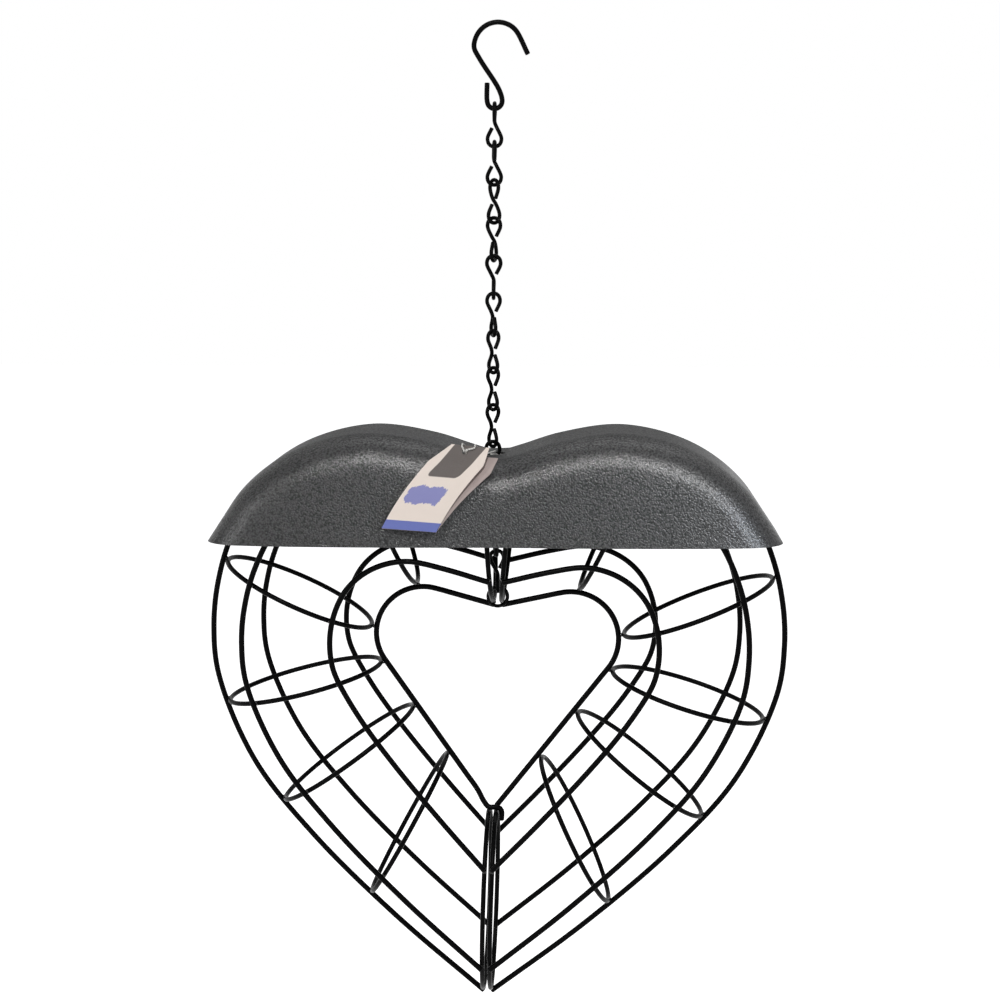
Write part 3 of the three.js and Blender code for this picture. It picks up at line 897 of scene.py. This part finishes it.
@dataclass(frozen=True)
class HangingRing:
    """The small ring that carries both halves of the cage."""

    chain: Chain = field(default_factory=Chain)
    wire: float = 1.75
    radius: float = 4.65
    lean: float = 19.0
    step: float = 7.5

    @property
    def top(self) -> float:
        """Returns the height of the ring's highest place."""
        return self.chain.crossing(len(self.chain.turns) + 1) + self.chain.gap / 2 + self.wire / 2

    @property
    def bottom(self) -> float:
        """Returns the height of the ring's lowest place."""
        return self.top - 2 * self.radius * math.cos(math.radians(self.lean))

    def make(self) -> None:
        """Makes the ring."""
        across, up = np.array([polar(self.radius, a) for a in np.arange(0, 360, self.step)]).T
        c, s = polar(1, self.lean)
        line = np.stack([across, (up - self.radius) * s, (up - self.radius) * c + self.top], axis=1)
        ring = wire("carrying_ring", line, self.wire, closed=True)
        dress(ring, "feeder_frame", PAINT, "black_paint", "hanging_ring")


@dataclass(frozen=True)
class CageShape:
    """The tube's form: the inner and outer wires of the left half and what lies between them."""

    ring: HangingRing = field(default_factory=HangingRing)
    long_wire: float = 2.7
    hoop_wire: float = 2.35
    half_width: float = 137.7
    half_depth: float = 35.0
    tip_drop: float = 195.0
    vertex_drop: float = 100.0
    lobe_rise: float = 80.6
    dip_rise: float = 69.2
    inner_corner_out: float = 91.6
    inner_corner_up: float = 22.2
    inner_lobe_radius: float = 23.0
    closed_gap: float = 1.8
    chain_slot: float = 7.0
    lean: float = 1.5
    wire_angle: float = 58.5
    weld_gap: float = 0.15
    seat_gap: float = 0.6
    lower: tuple = ((0.338, 0.81), (0.641, 0.604), (0.852, 0.418), (0.982, 0.202), (1.0, 0.077))
    upper: tuple = (
        (0.986, 0.078), (0.939, 0.365), (0.841, 0.675), (0.675, 0.894),
        (0.443, 1.0), (0.232, 0.955), (0.102, 0.886),
    )
    stations: tuple = (
        (0.0, 0.0), (0.193, 0.177), (0.352, 0.327), (0.502, 0.461),
        (0.605, 0.629), (0.786, 0.85), (1.0, 1.0),
    )
    lobe_places: int = 80
    outer_steps: int = 40

    @property
    def weld_reach(self) -> float:
        """Returns how far a hoop's middle lies inside a long wire's middle."""
        return self.long_wire / 2 + self.hoop_wire / 2 + self.weld_gap

    @property
    def height(self) -> float:
        """Returns the height of the cleft in the whole feeder."""
        seat = self.ring.bottom + self.ring.wire / 2 + self.hoop_wire / 2 + self.seat_gap
        return seat - self.weld_reach

    def inner(self) -> Points:
        """Draws the inner wire's outline: a straight, a lobe and a straight.

        Returns:
            Its places, in (x, z).
        """
        vertex = np.array([-self.closed_gap, -self.vertex_drop])
        corner = np.array([-self.inner_corner_out, self.inner_corner_up])
        cleft = np.array([-self.closed_gap, 0.0])
        down, over = unit(vertex - corner), unit(cleft - corner)
        half = math.acos(float(np.dot(down, over))) / 2
        reach = self.inner_lobe_radius / math.tan(half)
        centre = corner + unit(down + over) * self.inner_lobe_radius / math.sin(half)
        start, end = corner + down * reach - centre, corner + over * reach - centre
        first, last = math.atan2(start[1], start[0]), math.atan2(end[1], end[0])
        last = last if last < first else last - 2 * math.pi
        angles = np.linspace(first, last, self.lobe_places)
        arc = centre + self.inner_lobe_radius * np.stack([np.cos(angles), np.sin(angles)], axis=1)
        return np.vstack([vertex, arc, cleft])

    def outer(self) -> Points:
        """Draws the outer wire's outline.

        Returns:
            Its places, in (x, z).
        """
        below = [(-out * self.half_width, -down * self.tip_drop) for out, down in self.lower]
        above = [(-out * self.half_width, up * self.lobe_rise) for out, up in self.upper]
        tip, dip = (-self.closed_gap, -self.tip_drop), (-self.chain_slot, self.dip_rise)
        return smooth_line(np.array([tip, *below, *above, dip]), self.outer_steps)

    def pairs(self, shares: Points) -> Points:
        """Pairs places on the inner and outer wires.

        Args:
            shares: Shares along the tube, from the tip to the cleft.

        Returns:
            The shares along both wires for each of them.
        """
        known = np.array(self.stations)
        last = len(known) - 1
        out = []
        for place in np.clip(np.asarray(shares, dtype=float), 0, 1) * last:
            k = min(int(place), last - 1) if place < last else last
            a, b, c, d = (known[min(max(k + i, 0), last)] for i in (-1, 0, 1, 2))
            out.append(cubic(b, c, (c - a) / 2, (d - b) / 2, place - k))
        return np.clip(np.array(out), 0, 1)

    def skin(self, pairs: Points, angles: Points) -> Points:
        """Finds places on the tube's skin.

        Args:
            pairs: Shares along the inner and the outer wire, one pair in each row.
            angles: The angle round the tube at each pair: 0 is outside, 90 in front, 180 inside.

        Returns:
            The places.
        """
        inside = at_shares(self.inner(), pairs[:, 0])
        outside = at_shares(self.outer(), pairs[:, 1])
        turn = np.radians(angles)[:, None]
        flat = (inside + outside) / 2 + (outside - inside) / 2 * np.cos(turn)
        return np.hstack([flat[:, :1], -np.sin(turn) * self.half_depth, flat[:, 1:]])

    def ring_round(self, number: int, angles: Points) -> Points:
        """Returns places on the skin round one station, counted from the tip."""
        pairs = np.repeat([self.stations[number]], len(angles), axis=0)
        return self.skin(pairs, np.asarray(angles))


@dataclass(frozen=True)
class CageHalf:
    """One half of the cage: six long wires, five hoops and two end ovals, welded together."""

    side: Side
    shape: CageShape = field(default_factory=CageShape)
    latch_side: float = 2.7
    latch_rise: float = 0.25
    latch_reach: float = 2.5
    latch_bend: float = 2.0
    latch_drop: float = 6.5
    latch_leave: float = 0.06
    latch_join: int = 5
    side_share: float = 0.6
    bead: float = 0.95
    bead_lump: float = 0.22
    bead_stretch: float = 1.15
    bead_pole: float = 1.1
    bead_grain: float = 0.7
    bead_rows: int = 6
    bead_columns: int = 10
    long_places: int = 49
    wire_places: int = 150
    hoop_places: int = 72
    nudge: float = 0.004

    @property
    def body(self) -> str:
        """Returns the name of the body the half is."""
        return f"{self.side.value}_half"

    def placed(self, line: Points) -> Points:
        """Returns a line of the left half's own frame where this half hangs."""
        shift = (0.0, 0.0, self.shape.height)
        return leaned(line * (self.side.across, 1, 1), self.shape.lean, shift)

    def long_line(self, angle: float) -> Points:
        """Returns the middle of a long wire at an angle round the tube."""
        pairs = self.shape.pairs(np.linspace(0, 1, self.long_places))
        return self.shape.skin(pairs, np.full(self.long_places, angle))

    def inset(self, number: int, angle: float) -> float:
        """Finds how far inside the skin a hoop lies so that its wire clears the long wire there.

        Args:
            number: Which hoop, counted from the tip.
            angle: The angle round the tube.

        Returns:
            The distance.
        """
        shape, last = self.shape, len(self.shape.stations) - 1
        nearby = shape.pairs(number / last + np.array([-self.nudge, self.nudge]))
        before, after = shape.skin(nearby, np.full(2, angle))
        run = unit(after - before)
        angles = [angle - 1, angle + 1, angle, angle + 180]
        low, high, here, across = shape.ring_round(number, angles)
        inside, outside = shape.ring_round(number, [180.0, 0.0])
        normal = unit(np.cross(outside - inside, (0.0, 1.0, 0.0)))
        end = -1 if number == 0 else 1 if number == last else 0
        if end and np.dot(across - here, run * end) > 0:
            return shape.weld_reach
        turned = float(np.linalg.norm(np.cross(unit(high - low), run)))
        return shape.weld_reach * (turned / abs(float(np.dot(run, normal))))

    def hoop_line(self, number: int) -> Points:
        """Draws the middle of a hoop's or an end oval's wire.

        Args:
            number: Which one, counted from the tip.

        Returns:
            Its places, in the left half's own frame.
        """
        shape = self.shape
        angles = np.array([0.0, shape.wire_angle, 180.0 - shape.wire_angle, 180.0])
        insets = [self.inset(number, a) for a in angles]
        known = np.cos(np.radians(angles))
        inside, outside = shape.ring_round(number, [180.0, 0.0])
        turns = np.linspace(0, 360, self.hoop_places, endpoint=False)
        c, s = np.cos(np.radians(turns)), np.sin(np.radians(turns))
        inset = 0 * c
        for here, depth in zip(known, insets):
            others = [k for k in known if k != here]
            inset = inset + depth * np.prod([(c - k) / (here - k) for k in others], axis=0)
        along = unit(outside - inside) * (c * inset)[:, None]
        return shape.ring_round(number, turns) - along + np.stack([0 * s, s * inset, 0 * s], axis=1)

    def latch_line(self) -> Points:
        """Draws the inner wire with its run over both tip ovals and its hooked end.

        Returns:
            The wire's places.
        """
        shape, side = self.shape, self.latch_side
        clear = shape.hoop_wire / 2 + shape.long_wire / 2 + self.latch_rise
        over, past = float(self.hoop_line(0)[:, 2].max()) + clear, shape.closed_gap + clear
        bend, gap, reach = self.latch_bend, shape.closed_gap, self.latch_reach
        places = [
            (past, -side, over - self.latch_drop),
            (past, -side, over - bend),
            (past - bend / 3, -side, over - bend / 3),
            (gap, -side, over),
            (-gap, -side, over),
            (-gap - reach, -side * self.side_share, over + reach),
            shape.skin(shape.pairs([self.latch_leave]), np.array([180.0]))[0],
        ]
        return np.vstack([*places, self.long_line(180.0)[self.latch_join:]])

    def weld_beads(self) -> Piece:
        """Makes the small beads of weld metal where hoops and long wires meet.

        Returns:
            One mesh with every bead of the half.
        """
        places, faces = [], []
        for number in range(len(self.shape.stations)):
            hoop = self.placed(self.hoop_line(number))
            for touch in self.placed(self.shape.ring_round(number, [*self.wire_angles().values()])):
                nearest = hoop[np.argmin(np.linalg.norm(hoop - touch, axis=1))]
                start = len(places)
                beads, rims = self.bead_mesh((touch + nearest) / 2, unit(touch - nearest))
                places.extend(beads)
                faces.extend([[start + i for i in rim] for rim in rims])
        return make_mesh(f"{self.side.value}_weld_beads", np.array(places), faces)

    def bead_mesh(self, middle: Points, out: Points) -> tuple[list, list]:
        """Makes one bead.

        Args:
            middle: Where it sits.
            out: The direction from the hoop to the long wire.

        Returns:
            Its places and its faces.
        """
        askew = (0.31, 0.77, 0.56)
        side = unit(np.cross(out, askew))
        other, pole = np.cross(out, side), self.bead_pole * self.bead * out

        def skin(down: float, turn: float) -> Points:
            """Places a point of the bead's lumpy skin.

            Args:
                down: Its angle down from the pole.
                turn: Its angle round the bead.

            Returns:
                The place.
            """
            up, wide = math.cos(down), math.sin(down)
            spot = middle * self.bead_grain + (up, turn, wide)
            lump = 1 + self.bead_lump * noise.noise(Vector(spot.tolist()))
            spread = wide * (math.cos(turn) * side + math.sin(turn) * other)
            return middle + self.bead * lump * (spread + self.bead_stretch * up * out)

        return ball(self.bead_rows, self.bead_columns, skin, [middle + pole, middle - pole])

    def wire_angles(self) -> dict[str, float]:
        """Lists the long wires.

        Returns:
            Their names, each with its angle round the tube.
        """
        a = self.shape.wire_angle
        return {
            "outer_wire": 0.0,
            "front_outer_wire": a,
            "front_inner_wire": 180.0 - a,
            "inner_wire": 180.0,
            "back_inner_wire": 180.0 + a,
            "back_outer_wire": -a,
        }

    def make(self) -> None:
        """Makes the half's wires and welds."""
        shape, drawn = self.shape, []
        for label, angle in self.wire_angles().items():
            latched = label == "inner_wire" and self.side is Side.LEFT
            places = self.latch_line() if latched else self.long_line(angle)
            line = evenly(smooth_line(self.placed(places)), self.wire_places)
            drawn.append((label, line, shape.long_wire, False))
        labels = ("tip_oval", *(f"hoop_{i}" for i in range(4, -1, -1)), "cleft_oval")
        for number, label in enumerate(labels):
            drawn.append((label, self.placed(self.hoop_line(number)), shape.hoop_wire, True))
        for label, line, thickness, closed in drawn:
            node = f"{self.side.value}_{label}"
            piece = wire(f"painted_{node}", line, thickness, closed=closed)
            dress(piece, self.body, PAINT, "black_paint", node)
        dress(self.weld_beads(), self.body, WELD_PAINT, "black_paint")


@dataclass(frozen=True)
class Roof:
    """The pressed sheet roof: two lobes, rounded shoulders, flared walls and the chain's hole."""

    shape: CageShape = field(default_factory=CageShape)
    name: str = "hammered_roof"
    sheet: float = 0.8
    seat_gap: float = 1.7
    edge_rise: float = 33.7
    straight_rise: float = 51.0
    crown_from: float = 0.4
    crown_half_depth: float = 20.3
    shoulder_radius: float = 16.6
    shoulder_turn: float = 84.0
    flare: float = 5.0
    hole_radius: float = 6.2
    chain_side: float = -2.5
    side: float = -0.9
    lift: float = 0.7
    lean: float = -0.2
    drill_reach: float = 12.0
    drill_sides: int = 48
    crown_places: int = 241
    crown_steps: int = 3
    straight_places: int = 16
    nudge: float = 2e-3
    columns: int = 180
    crown_rows: int = 14
    shoulder_rows: int = 12
    wall_rows: int = 8

    @property
    def dip(self) -> float:
        """Returns the height of the middle of the roof's dip."""
        seat = self.shape.height + self.shape.dip_rise + self.shape.long_wire / 2
        return seat + self.seat_gap + self.sheet

    def crown(self, depth: float) -> Points:
        """Draws the crown's line, from left to right.

        Args:
            depth: How far it lies below the skin.

        Returns:
            Its places, in (x, z).
        """
        away = self.shape.long_wire / 2 + self.seat_gap + self.sheet - depth
        line = self.shape.outer()
        shares = np.linspace(self.crown_from, 1.0, self.crown_places)
        ahead = at_shares(line, np.clip(shares + self.nudge, 0, 1))
        behind = at_shares(line, shares - self.nudge)
        along = unit(ahead - behind)
        half = at_shares(line, shares) + away * np.stack([-along[:, 1], along[:, 0]], axis=1)
        first = int(np.argmax(half[:, 1] > self.straight_rise))
        slope = unit(half[first + 1] - half[first])
        run = (half[first][1] - self.edge_rise + self.shoulder_radius) / slope[1]
        steps = np.linspace(1, 0, self.straight_places, endpoint=False)[:, None]
        left = np.vstack([half[first] - slope * run * steps, half[first:]])
        return smooth_line(np.vstack([left, left[::-1] * (-1.0, 1.0)]), self.crown_steps)

    def column(self, place: Points, inward: Points, depth: float) -> list:
        """Draws one column of the skin, from the front edge to the back edge.

        Args:
            place: The crown's place in (x, z).
            inward: The direction into the roof there.
            depth: How far below the outer skin the column lies.

        Returns:
            The column's places.
        """
        radius = self.shoulder_radius - depth
        back = []
        for i in range(self.shoulder_rows + 1):
            c, s = polar(radius, self.shoulder_turn * i / self.shoulder_rows)
            x, z = place + inward * (radius - c)
            back.append((x, self.crown_half_depth + s, z))
        x, y, z = back[-1]
        low = min(z, self.edge_rise) - 2 * self.sheet
        for i in range(1, self.wall_rows + 1):
            fall = (z - low) * i / self.wall_rows
            back.append((x, y + fall * math.tan(math.radians(self.flare)), z - fall))
        front = [(a, -b, c) for a, b, c in reversed(back)]
        shares = np.arange(1, self.crown_rows) / self.crown_rows
        flat = [(place[0], self.crown_half_depth * (2 * share - 1), place[1]) for share in shares]
        return front + flat + back

    def skins(self) -> Points:
        """Draws the outer and the inner skin.

        Returns:
            Their places, by skin, column and row.
        """
        out = []
        for depth in (0.0, self.sheet):
            line = evenly(self.crown(depth), self.columns + 1)
            along = unit(np.gradient(line, axis=0))
            inward = np.stack([along[:, 1], -along[:, 0]], axis=1)
            out.append([self.column(p, q, depth) for p, q in zip(line, inward)])
        return np.array(out)

    def set_down(self, places: Points) -> Points:
        """Returns places of the roof's own frame where the roof rests on the cage."""
        return leaned(places, self.lean, (self.side, 0.0, self.shape.height + self.lift))

    def tool(self, name: str, rim: Points, low: float, high: float) -> Piece:
        """Returns an upright shape to cut with, from its outline and the heights of its ends."""
        rims = (self.set_down(np.insert(rim, 2, height, axis=1)) for height in (low, high))
        return prism(name, *rims)

    def make(self) -> None:
        """Makes the roof's shell, cuts it off level at its edge and drills the chain's hole."""
        skins = self.skins()
        number = np.arange(skins[..., 0].size).reshape(skins.shape[:3])
        faces = grid_faces(number[0]) + grid_faces(number[1], flip=True)
        for end, flip in ((0, True), (-1, False)):
            faces += grid_faces(number[:, :, end].T, flip) + grid_faces(number[:, end].T, not flip)
        shell = make_mesh(self.name, self.set_down(skins.reshape(-1, 3)), faces, Shade.CREASED)
        turns = np.linspace(0, 360, self.drill_sides, endpoint=False)
        hole = np.array([polar(self.hole_radius, a) for a in turns])
        hole += (self.chain_side - self.side, 0)
        dip, reach = self.shape.dip_rise, 4 * self.shape.half_width
        drill = self.tool("drill", hole, dip - self.drill_reach, dip + self.drill_reach)
        below = self.tool("below_edge", reach * SQUARE, self.edge_rise - reach, self.edge_rise)
        carve(shell, drill, below)
        dress(shell, "roof_cover", HAMMERED, "hammered_paint", "roof")


@dataclass(frozen=True)
class SwingTag:
    """A folded card tag with clipped top corners, tied to the chain with a thread."""

    roof: Roof = field(default_factory=Roof)
    sheet: float = 0.45
    corners: tuple = (
        (-19.2, 8.8), (-1.9, 7.4), (-4.4, -0.5),
        (-25.7, -30.3), (-50.8, -29.0), (-29.8, 1.2),
    )
    stand_off: float = 3.3
    lean_share: float = 0.28
    turn_share: float = 0.08
    back_shift: tuple = (4.0, 1.0, -5.0)
    back_share: float = 0.9
    hole: tuple = (-13.0, 5.6)
    hole_radius: float = 1.4
    punch_reach: float = 2.0
    punch_step: float = 15.0
    bow: float = 0.8
    side_bow: float = 1.3
    chart_inset: float = 0.215
    chart_narrow: float = 0.32
    thread: float = 0.8
    thread_sides: int = 10
    thread_steps: int = 8
    card_gap: float = 0.3
    half_spread: float = 0.5
    knot_radius: float = 1.2
    knot_gap: float = 0.55
    knot_pole: float = 0.9
    knot_groove: float = 0.1
    knot_bulge: float = 0.06
    knot_waves: tuple = (3, 5, 4)
    knot_rows: int = 18
    knot_columns: int = 28
    edge_shares: tuple = (0.29, 0.62)
    shoulder_rise: float = 2.2
    rim_clearance: float = 1.4
    loop_radius: float = 5.1
    loop_drop: float = 1.5
    loop_ends: tuple = (230.0, -78.0)
    loop_places: int = 10
    rows: int = 44
    columns: int = 26

    def place(self, across: float, up: float) -> Points:
        """Finds a place on the front panel.

        Args:
            across: How far it is to the right of the middle of the roof's dip.
            up: How far it is above it.

        Returns:
            The place.
        """
        out = self.roof.crown_half_depth + self.roof.shoulder_radius + self.stand_off
        back = self.lean_share * up - self.turn_share * across - out
        return np.array([across, back, self.roof.dip + up])

    def directions(self) -> tuple[Points, Points, Points]:
        """Finds how the card lies.

        Returns:
            Its right, its upward direction and the one square to it, away from its front.
        """
        top_left, top_right, right, low_right = (self.place(*corner) for corner in self.corners[:4])
        behind = unit(np.cross(top_right - top_left, low_right - right))
        across = unit(top_right - top_left)
        return across, np.cross(across, behind), behind

    def panel(self, name: str, back: bool) -> Piece:
        """Makes one panel of the card as a fine grid with thickness, a map and its clipped corners.

        Args:
            name: The piece's name.
            back: Whether it is the back panel.

        Returns:
            The panel.
        """
        top_left, top_right, right, low_right, low_left, left = (np.array(c) for c in self.corners)
        behind = self.directions()[2]
        away, shift = behind * self.sheet * self.back_share, np.array(self.back_shift)
        fold, height = float(low_right[1]), float(top_left[1] - low_right[1])
        clip = np.linalg.norm(top_left - left) / np.linalg.norm(low_left - left)
        places, chart = [], []
        for v in np.linspace(-clip, 1, self.rows + 1):
            up_share = max(0.0, -v / clip)
            if v >= 0:
                low = left + (low_left - left) * v
                high = right + (low_right - right) * v
            else:
                low = left + (top_left - left) * up_share
                high = right + (top_right - right) * up_share
            bulge = math.sin(math.pi * min(1.0, max(0.0, v)))
            inward = 1 - self.chart_narrow * up_share
            for u in np.linspace(0, 1, self.columns + 1):
                across, up = low + (high - low) * u
                spot = self.place(across - bulge * self.side_bow, up) - behind * bulge * self.bow
                if back:
                    share = max(0.0, (up - fold) / height)
                    spot = spot + shift * share + away
                places.append(spot)
                chart.append((self.chart_inset * up_share + u * inward, v))
        front = np.array(places)
        grid = np.arange(len(front)).reshape(self.rows + 1, -1)
        rim = np.array([*grid[0], *grid[1:, -1], *grid[-1, -2::-1], *grid[-2::-1, 0]])
        faces = grid_faces(grid) + grid_faces(grid + len(front), flip=True)
        faces += grid_faces(np.stack([rim, rim + len(front)], axis=1))
        both = np.vstack([front, front + behind * self.sheet])
        piece = make_mesh(name, both, faces, Shade.CREASED)
        layer = piece.data.uv_layers.new(name="card")
        for loop in piece.data.loops:
            layer.data[loop.index].uv = chart[loop.vertex_index % len(front)]
        return piece

    def thread_line(self) -> Points:
        """Draws the thread's middle: from the knot over the card's edge, round the chain and back.

        Returns:
            Its places.
        """
        ends = [self.place(*corner) for corner in self.corners[:2]]
        right, upward, behind = self.directions()
        clear = self.thread / 2 + self.card_gap
        slant = 0.7 * clear
        top, hole, roof = self.roof.dip + self.roof.lift, self.place(*self.hole), self.roof

        def on_card(place: Points, across: float, up: float, back: float) -> Points:
            """Returns a place moved to the right, up the card and behind it."""
            return place + right * across + upward * up + behind * back

        def loop(radius: float, angle: float, height: float) -> Points:
            """Returns a place round the chain, at a height above the roof's dip."""
            x, y = polar(radius, angle)
            return np.array([roof.chain_side + x, y, top + height])

        def strand(side: int, share: float, angle: float) -> list:
            """Lists the places of one strand, from the knot to the roof's hole.

            Args:
                side: Which side of the hole it is on.
                share: Where along the top edge it crosses.
                angle: Where round the chain it goes in.

            Returns:
                The places.
            """
            apart, edge = side * self.half_spread, ends[0] + (ends[1] - ends[0]) * share
            rim = loop(roof.hole_radius + self.rim_clearance, angle, self.rim_clearance)
            over = on_card(edge, 0, clear, self.sheet + 3 * clear)
            shoulder = over + (rim - over) * (over[1] + roof.crown_half_depth) / (over[1] - rim[1])
            shoulder[2] = top + self.shoulder_rise
            return [
                on_card(self.knot(), apart, 0, 0),
                on_card(hole, apart, 0, self.sheet),
                on_card(hole, apart, self.half_spread, -clear),
                on_card(edge, 0, -clear, -clear),
                on_card(edge, 0, slant, -slant),
                on_card(edge, 0, clear, self.sheet / 2),
                over,
                shoulder,
                rim,
                loop(self.loop_radius, angle, self.rim_clearance / 3),
            ]

        path = strand(-1, self.edge_shares[0], self.loop_ends[0])
        for angle in np.linspace(*self.loop_ends, self.loop_places)[1:-1]:
            path.append(loop(self.loop_radius, float(angle), -self.loop_drop))
        path += strand(1, self.edge_shares[1], self.loop_ends[1])[::-1]
        return smooth_line(np.array(path), self.thread_steps)

    def knot(self) -> Points:
        """Returns the middle of the knot behind the hole."""
        reach = self.sheet + self.knot_gap + self.knot_radius
        return self.place(*self.hole) + self.directions()[2] * reach

    def knot_mesh(self) -> Piece:
        """Makes the knot as a lumpy ball of wound thread.

        Returns:
            The knot.
        """
        middle, pole = self.knot(), np.array([0, 0, self.knot_radius * self.knot_pole])
        around, over, swell = self.knot_waves

        def skin(down: float, turn: float) -> Points:
            """Places a point of the knot's wound skin.

            Args:
                down: Its angle down from the pole.
                turn: Its angle round the knot.

            Returns:
                The place.
            """
            wound = 1 - self.knot_groove * abs(math.sin(around * turn + over * down))
            wound -= self.knot_bulge * math.cos(down * swell)
            wide = math.sin(down)
            spot = np.array([wide * math.cos(turn), wide * math.sin(turn), math.cos(down)])
            return middle + spot * self.knot_radius * wound

        poles = [middle + pole, middle - pole]
        places, faces = ball(self.knot_rows, self.knot_columns, skin, poles)
        return make_mesh("thread_knot", np.array(places), faces)

    def punch(self) -> Piece:
        """Makes the round punch that cuts the thread's hole in the front panel.

        Returns:
            The punch.
        """
        right, upward, behind = self.directions()
        turns = [polar(self.hole_radius, a) for a in np.arange(0, 360, self.punch_step)]
        rim = np.array([self.place(*self.hole) + right * x + upward * y for x, y in turns])
        return prism("punch", rim + behind * self.punch_reach, rim - behind * self.punch_reach)

    def make(self) -> None:
        """Makes both panels and the thread."""
        front = self.panel("tag_front_panel", back=False)
        carve(front, self.punch())
        dress(front, "tag", PRINT, "card", "swing_tag")
        # The back panel takes the card's inner face, darkened by painted shade.
        dress(self.panel("tag_back_panel", back=True), "tag", SHADED_INSIDE, "card", "swing_tag")
        thread = wire("tie_thread", self.thread_line(), self.thread, self.thread_sides)
        dress(thread, "roof_cover", COTTON, "thread", "tag_thread")
        dress(self.knot_mesh(), "roof_cover", COTTON, "thread", "tag_thread")


@dataclass(frozen=True)
class Lamp:
    """A soft area lamp. One that names a piece is flagged off from all others."""

    name: str
    place: tuple
    size: tuple
    watts: float
    tint: tuple = (1.0, 1.0, 1.0)
    piece: str = ""

    def make(self, aim: tuple) -> None:
        """Hangs the lamp.

        Args:
            aim: The place that it faces, in metres.
        """
        data = bpy.data.lights.new(self.name, "AREA")
        data.shape, (data.size, data.size_y) = "RECTANGLE", self.size
        data.energy, data.color = self.watts, self.tint
        lamp = bpy.data.objects.new(self.name, data)
        lamp.location = self.place
        lamp.rotation_euler = (Vector(aim) - Vector(self.place)).to_track_quat("-Z", "Y").to_euler()
        bpy.context.scene.collection.objects.link(lamp)
        if self.piece:
            lit = bpy.data.collections.new(f"{self.name}_lights")
            lit.objects.link(bpy.data.objects[self.piece])
            lamp.light_linking.receiver_collection = lit


@dataclass(frozen=True)
class Studio:
    """The camera, the lamps and the pale floor, in metres."""

    eye: tuple = (0.0474, -0.895, -0.0886)
    pitch: float = 8.4
    yaw: float = 2.97
    lens: float = 68.4
    sensor: float = 36.0
    clip: tuple = (0.02, 40.0)
    aim: tuple = (0, 0, -0.25)
    floor: float = -0.62
    reach: float = 6.0
    grey: tuple = (0.8, 0.8, 0.8, 1)
    white: tuple = (1, 1, 1, 1)
    sky: tuple = (0.95, 0.97, 1.0, 1)
    sky_level: float = 0.2
    lamps: tuple = (
        Lamp("key_lamp", (-0.12, -1.1, 0.55), (0.1, 0.08), 8, (1.0, 0.99, 0.97)),
        Lamp("broad_lamp", (0.5, -1.0, 0.34), (0.35, 0.3), 16.5, piece=Roof.name),
        Lamp("right_lamp", (1.05, -0.95, -0.14), (0.2, 0.25), 20, (0.82, 0.9, 1), piece=Roof.name),
        Lamp("left_lamp", (-1.2, -0.8, 0.0), (0.08, 0.3), 4),
        Lamp("top_lamp", (0.1, 0.5, 0.9), (0.9, 0.6), 6),
    )

    def camera(self) -> None:
        """Places the camera where the photograph was taken."""
        data = bpy.data.cameras.new("camera")
        data.lens, data.sensor_width = self.lens, self.sensor
        data.clip_start, data.clip_end = self.clip
        camera = bpy.data.objects.new("camera", data)
        camera.location = self.eye
        camera.rotation_euler = Euler((math.radians(90 - self.pitch), 0, math.radians(self.yaw)))
        bpy.context.scene.collection.objects.link(camera)
        bpy.context.scene.camera = camera

    @staticmethod
    def either(web: Web, plain: Node, seen: Node) -> Node:
        """Joins a plain shader with one for what the camera, reflections and clear materials see.

        Args:
            web: The nodes of the material or world.
            plain: The shader that lights the object.
            seen: The shader that is seen.

        Returns:
            The two as one.
        """
        path = web.add("LightPath").outputs
        rays = path["Is Camera Ray"]
        for kind in ("Is Glossy Ray", "Is Transmission Ray"):
            rays = web.plus(rays, path[kind])
        share = web.work("MINIMUM", rays, 1.0)
        return web.fed(web.add("MixShader"), share, plain.outputs[0], seen.outputs[0])

    def stage(self) -> None:
        """Lays the floor and lights the world."""
        corners = np.insert(self.reach * SQUARE, 2, self.floor, axis=1)
        floor = make_mesh("studio_floor", corners / METRES, [[0, 1, 2, 3]])
        web = Web("pale_floor")
        matt = web.add("BsdfDiffuse", Color=self.grey)
        glow = web.add("Emission", Color=self.white, Strength=1.0)
        both = web.fed(web.add("AddShader"), matt.outputs[0], glow.outputs[0])
        floor.data.materials.append(web.finish(self.either(web, matt, both)))
        web = Web("studio_world", "World")
        soft = web.add("Background", Color=self.sky, Strength=self.sky_level)
        pale = web.add("Background", Color=self.white, Strength=1.0)
        bpy.context.scene.world = web.finish(self.either(web, soft, pale))

    def make(self) -> None:
        """Sets up the whole studio."""
        bpy.context.scene.view_settings.view_transform = "Standard"
        self.camera()
        for lamp in self.lamps:
            lamp.make(self.aim)
        self.stage()


def main() -> None:
    """Builds every sub-assembly in turn, and then the studio."""
    logging.basicConfig(level=logging.INFO, format="%(name)s: %(message)s")
    halves = (CageHalf(Side.LEFT), CageHalf(Side.RIGHT))
    for maker in (Hook(), Chain(), HangingRing(), *halves, Roof(), SwingTag(), Studio()):
        LOG.info("%s", type(maker).__name__)
        maker.make()


if __name__ == "__main__":
    main()
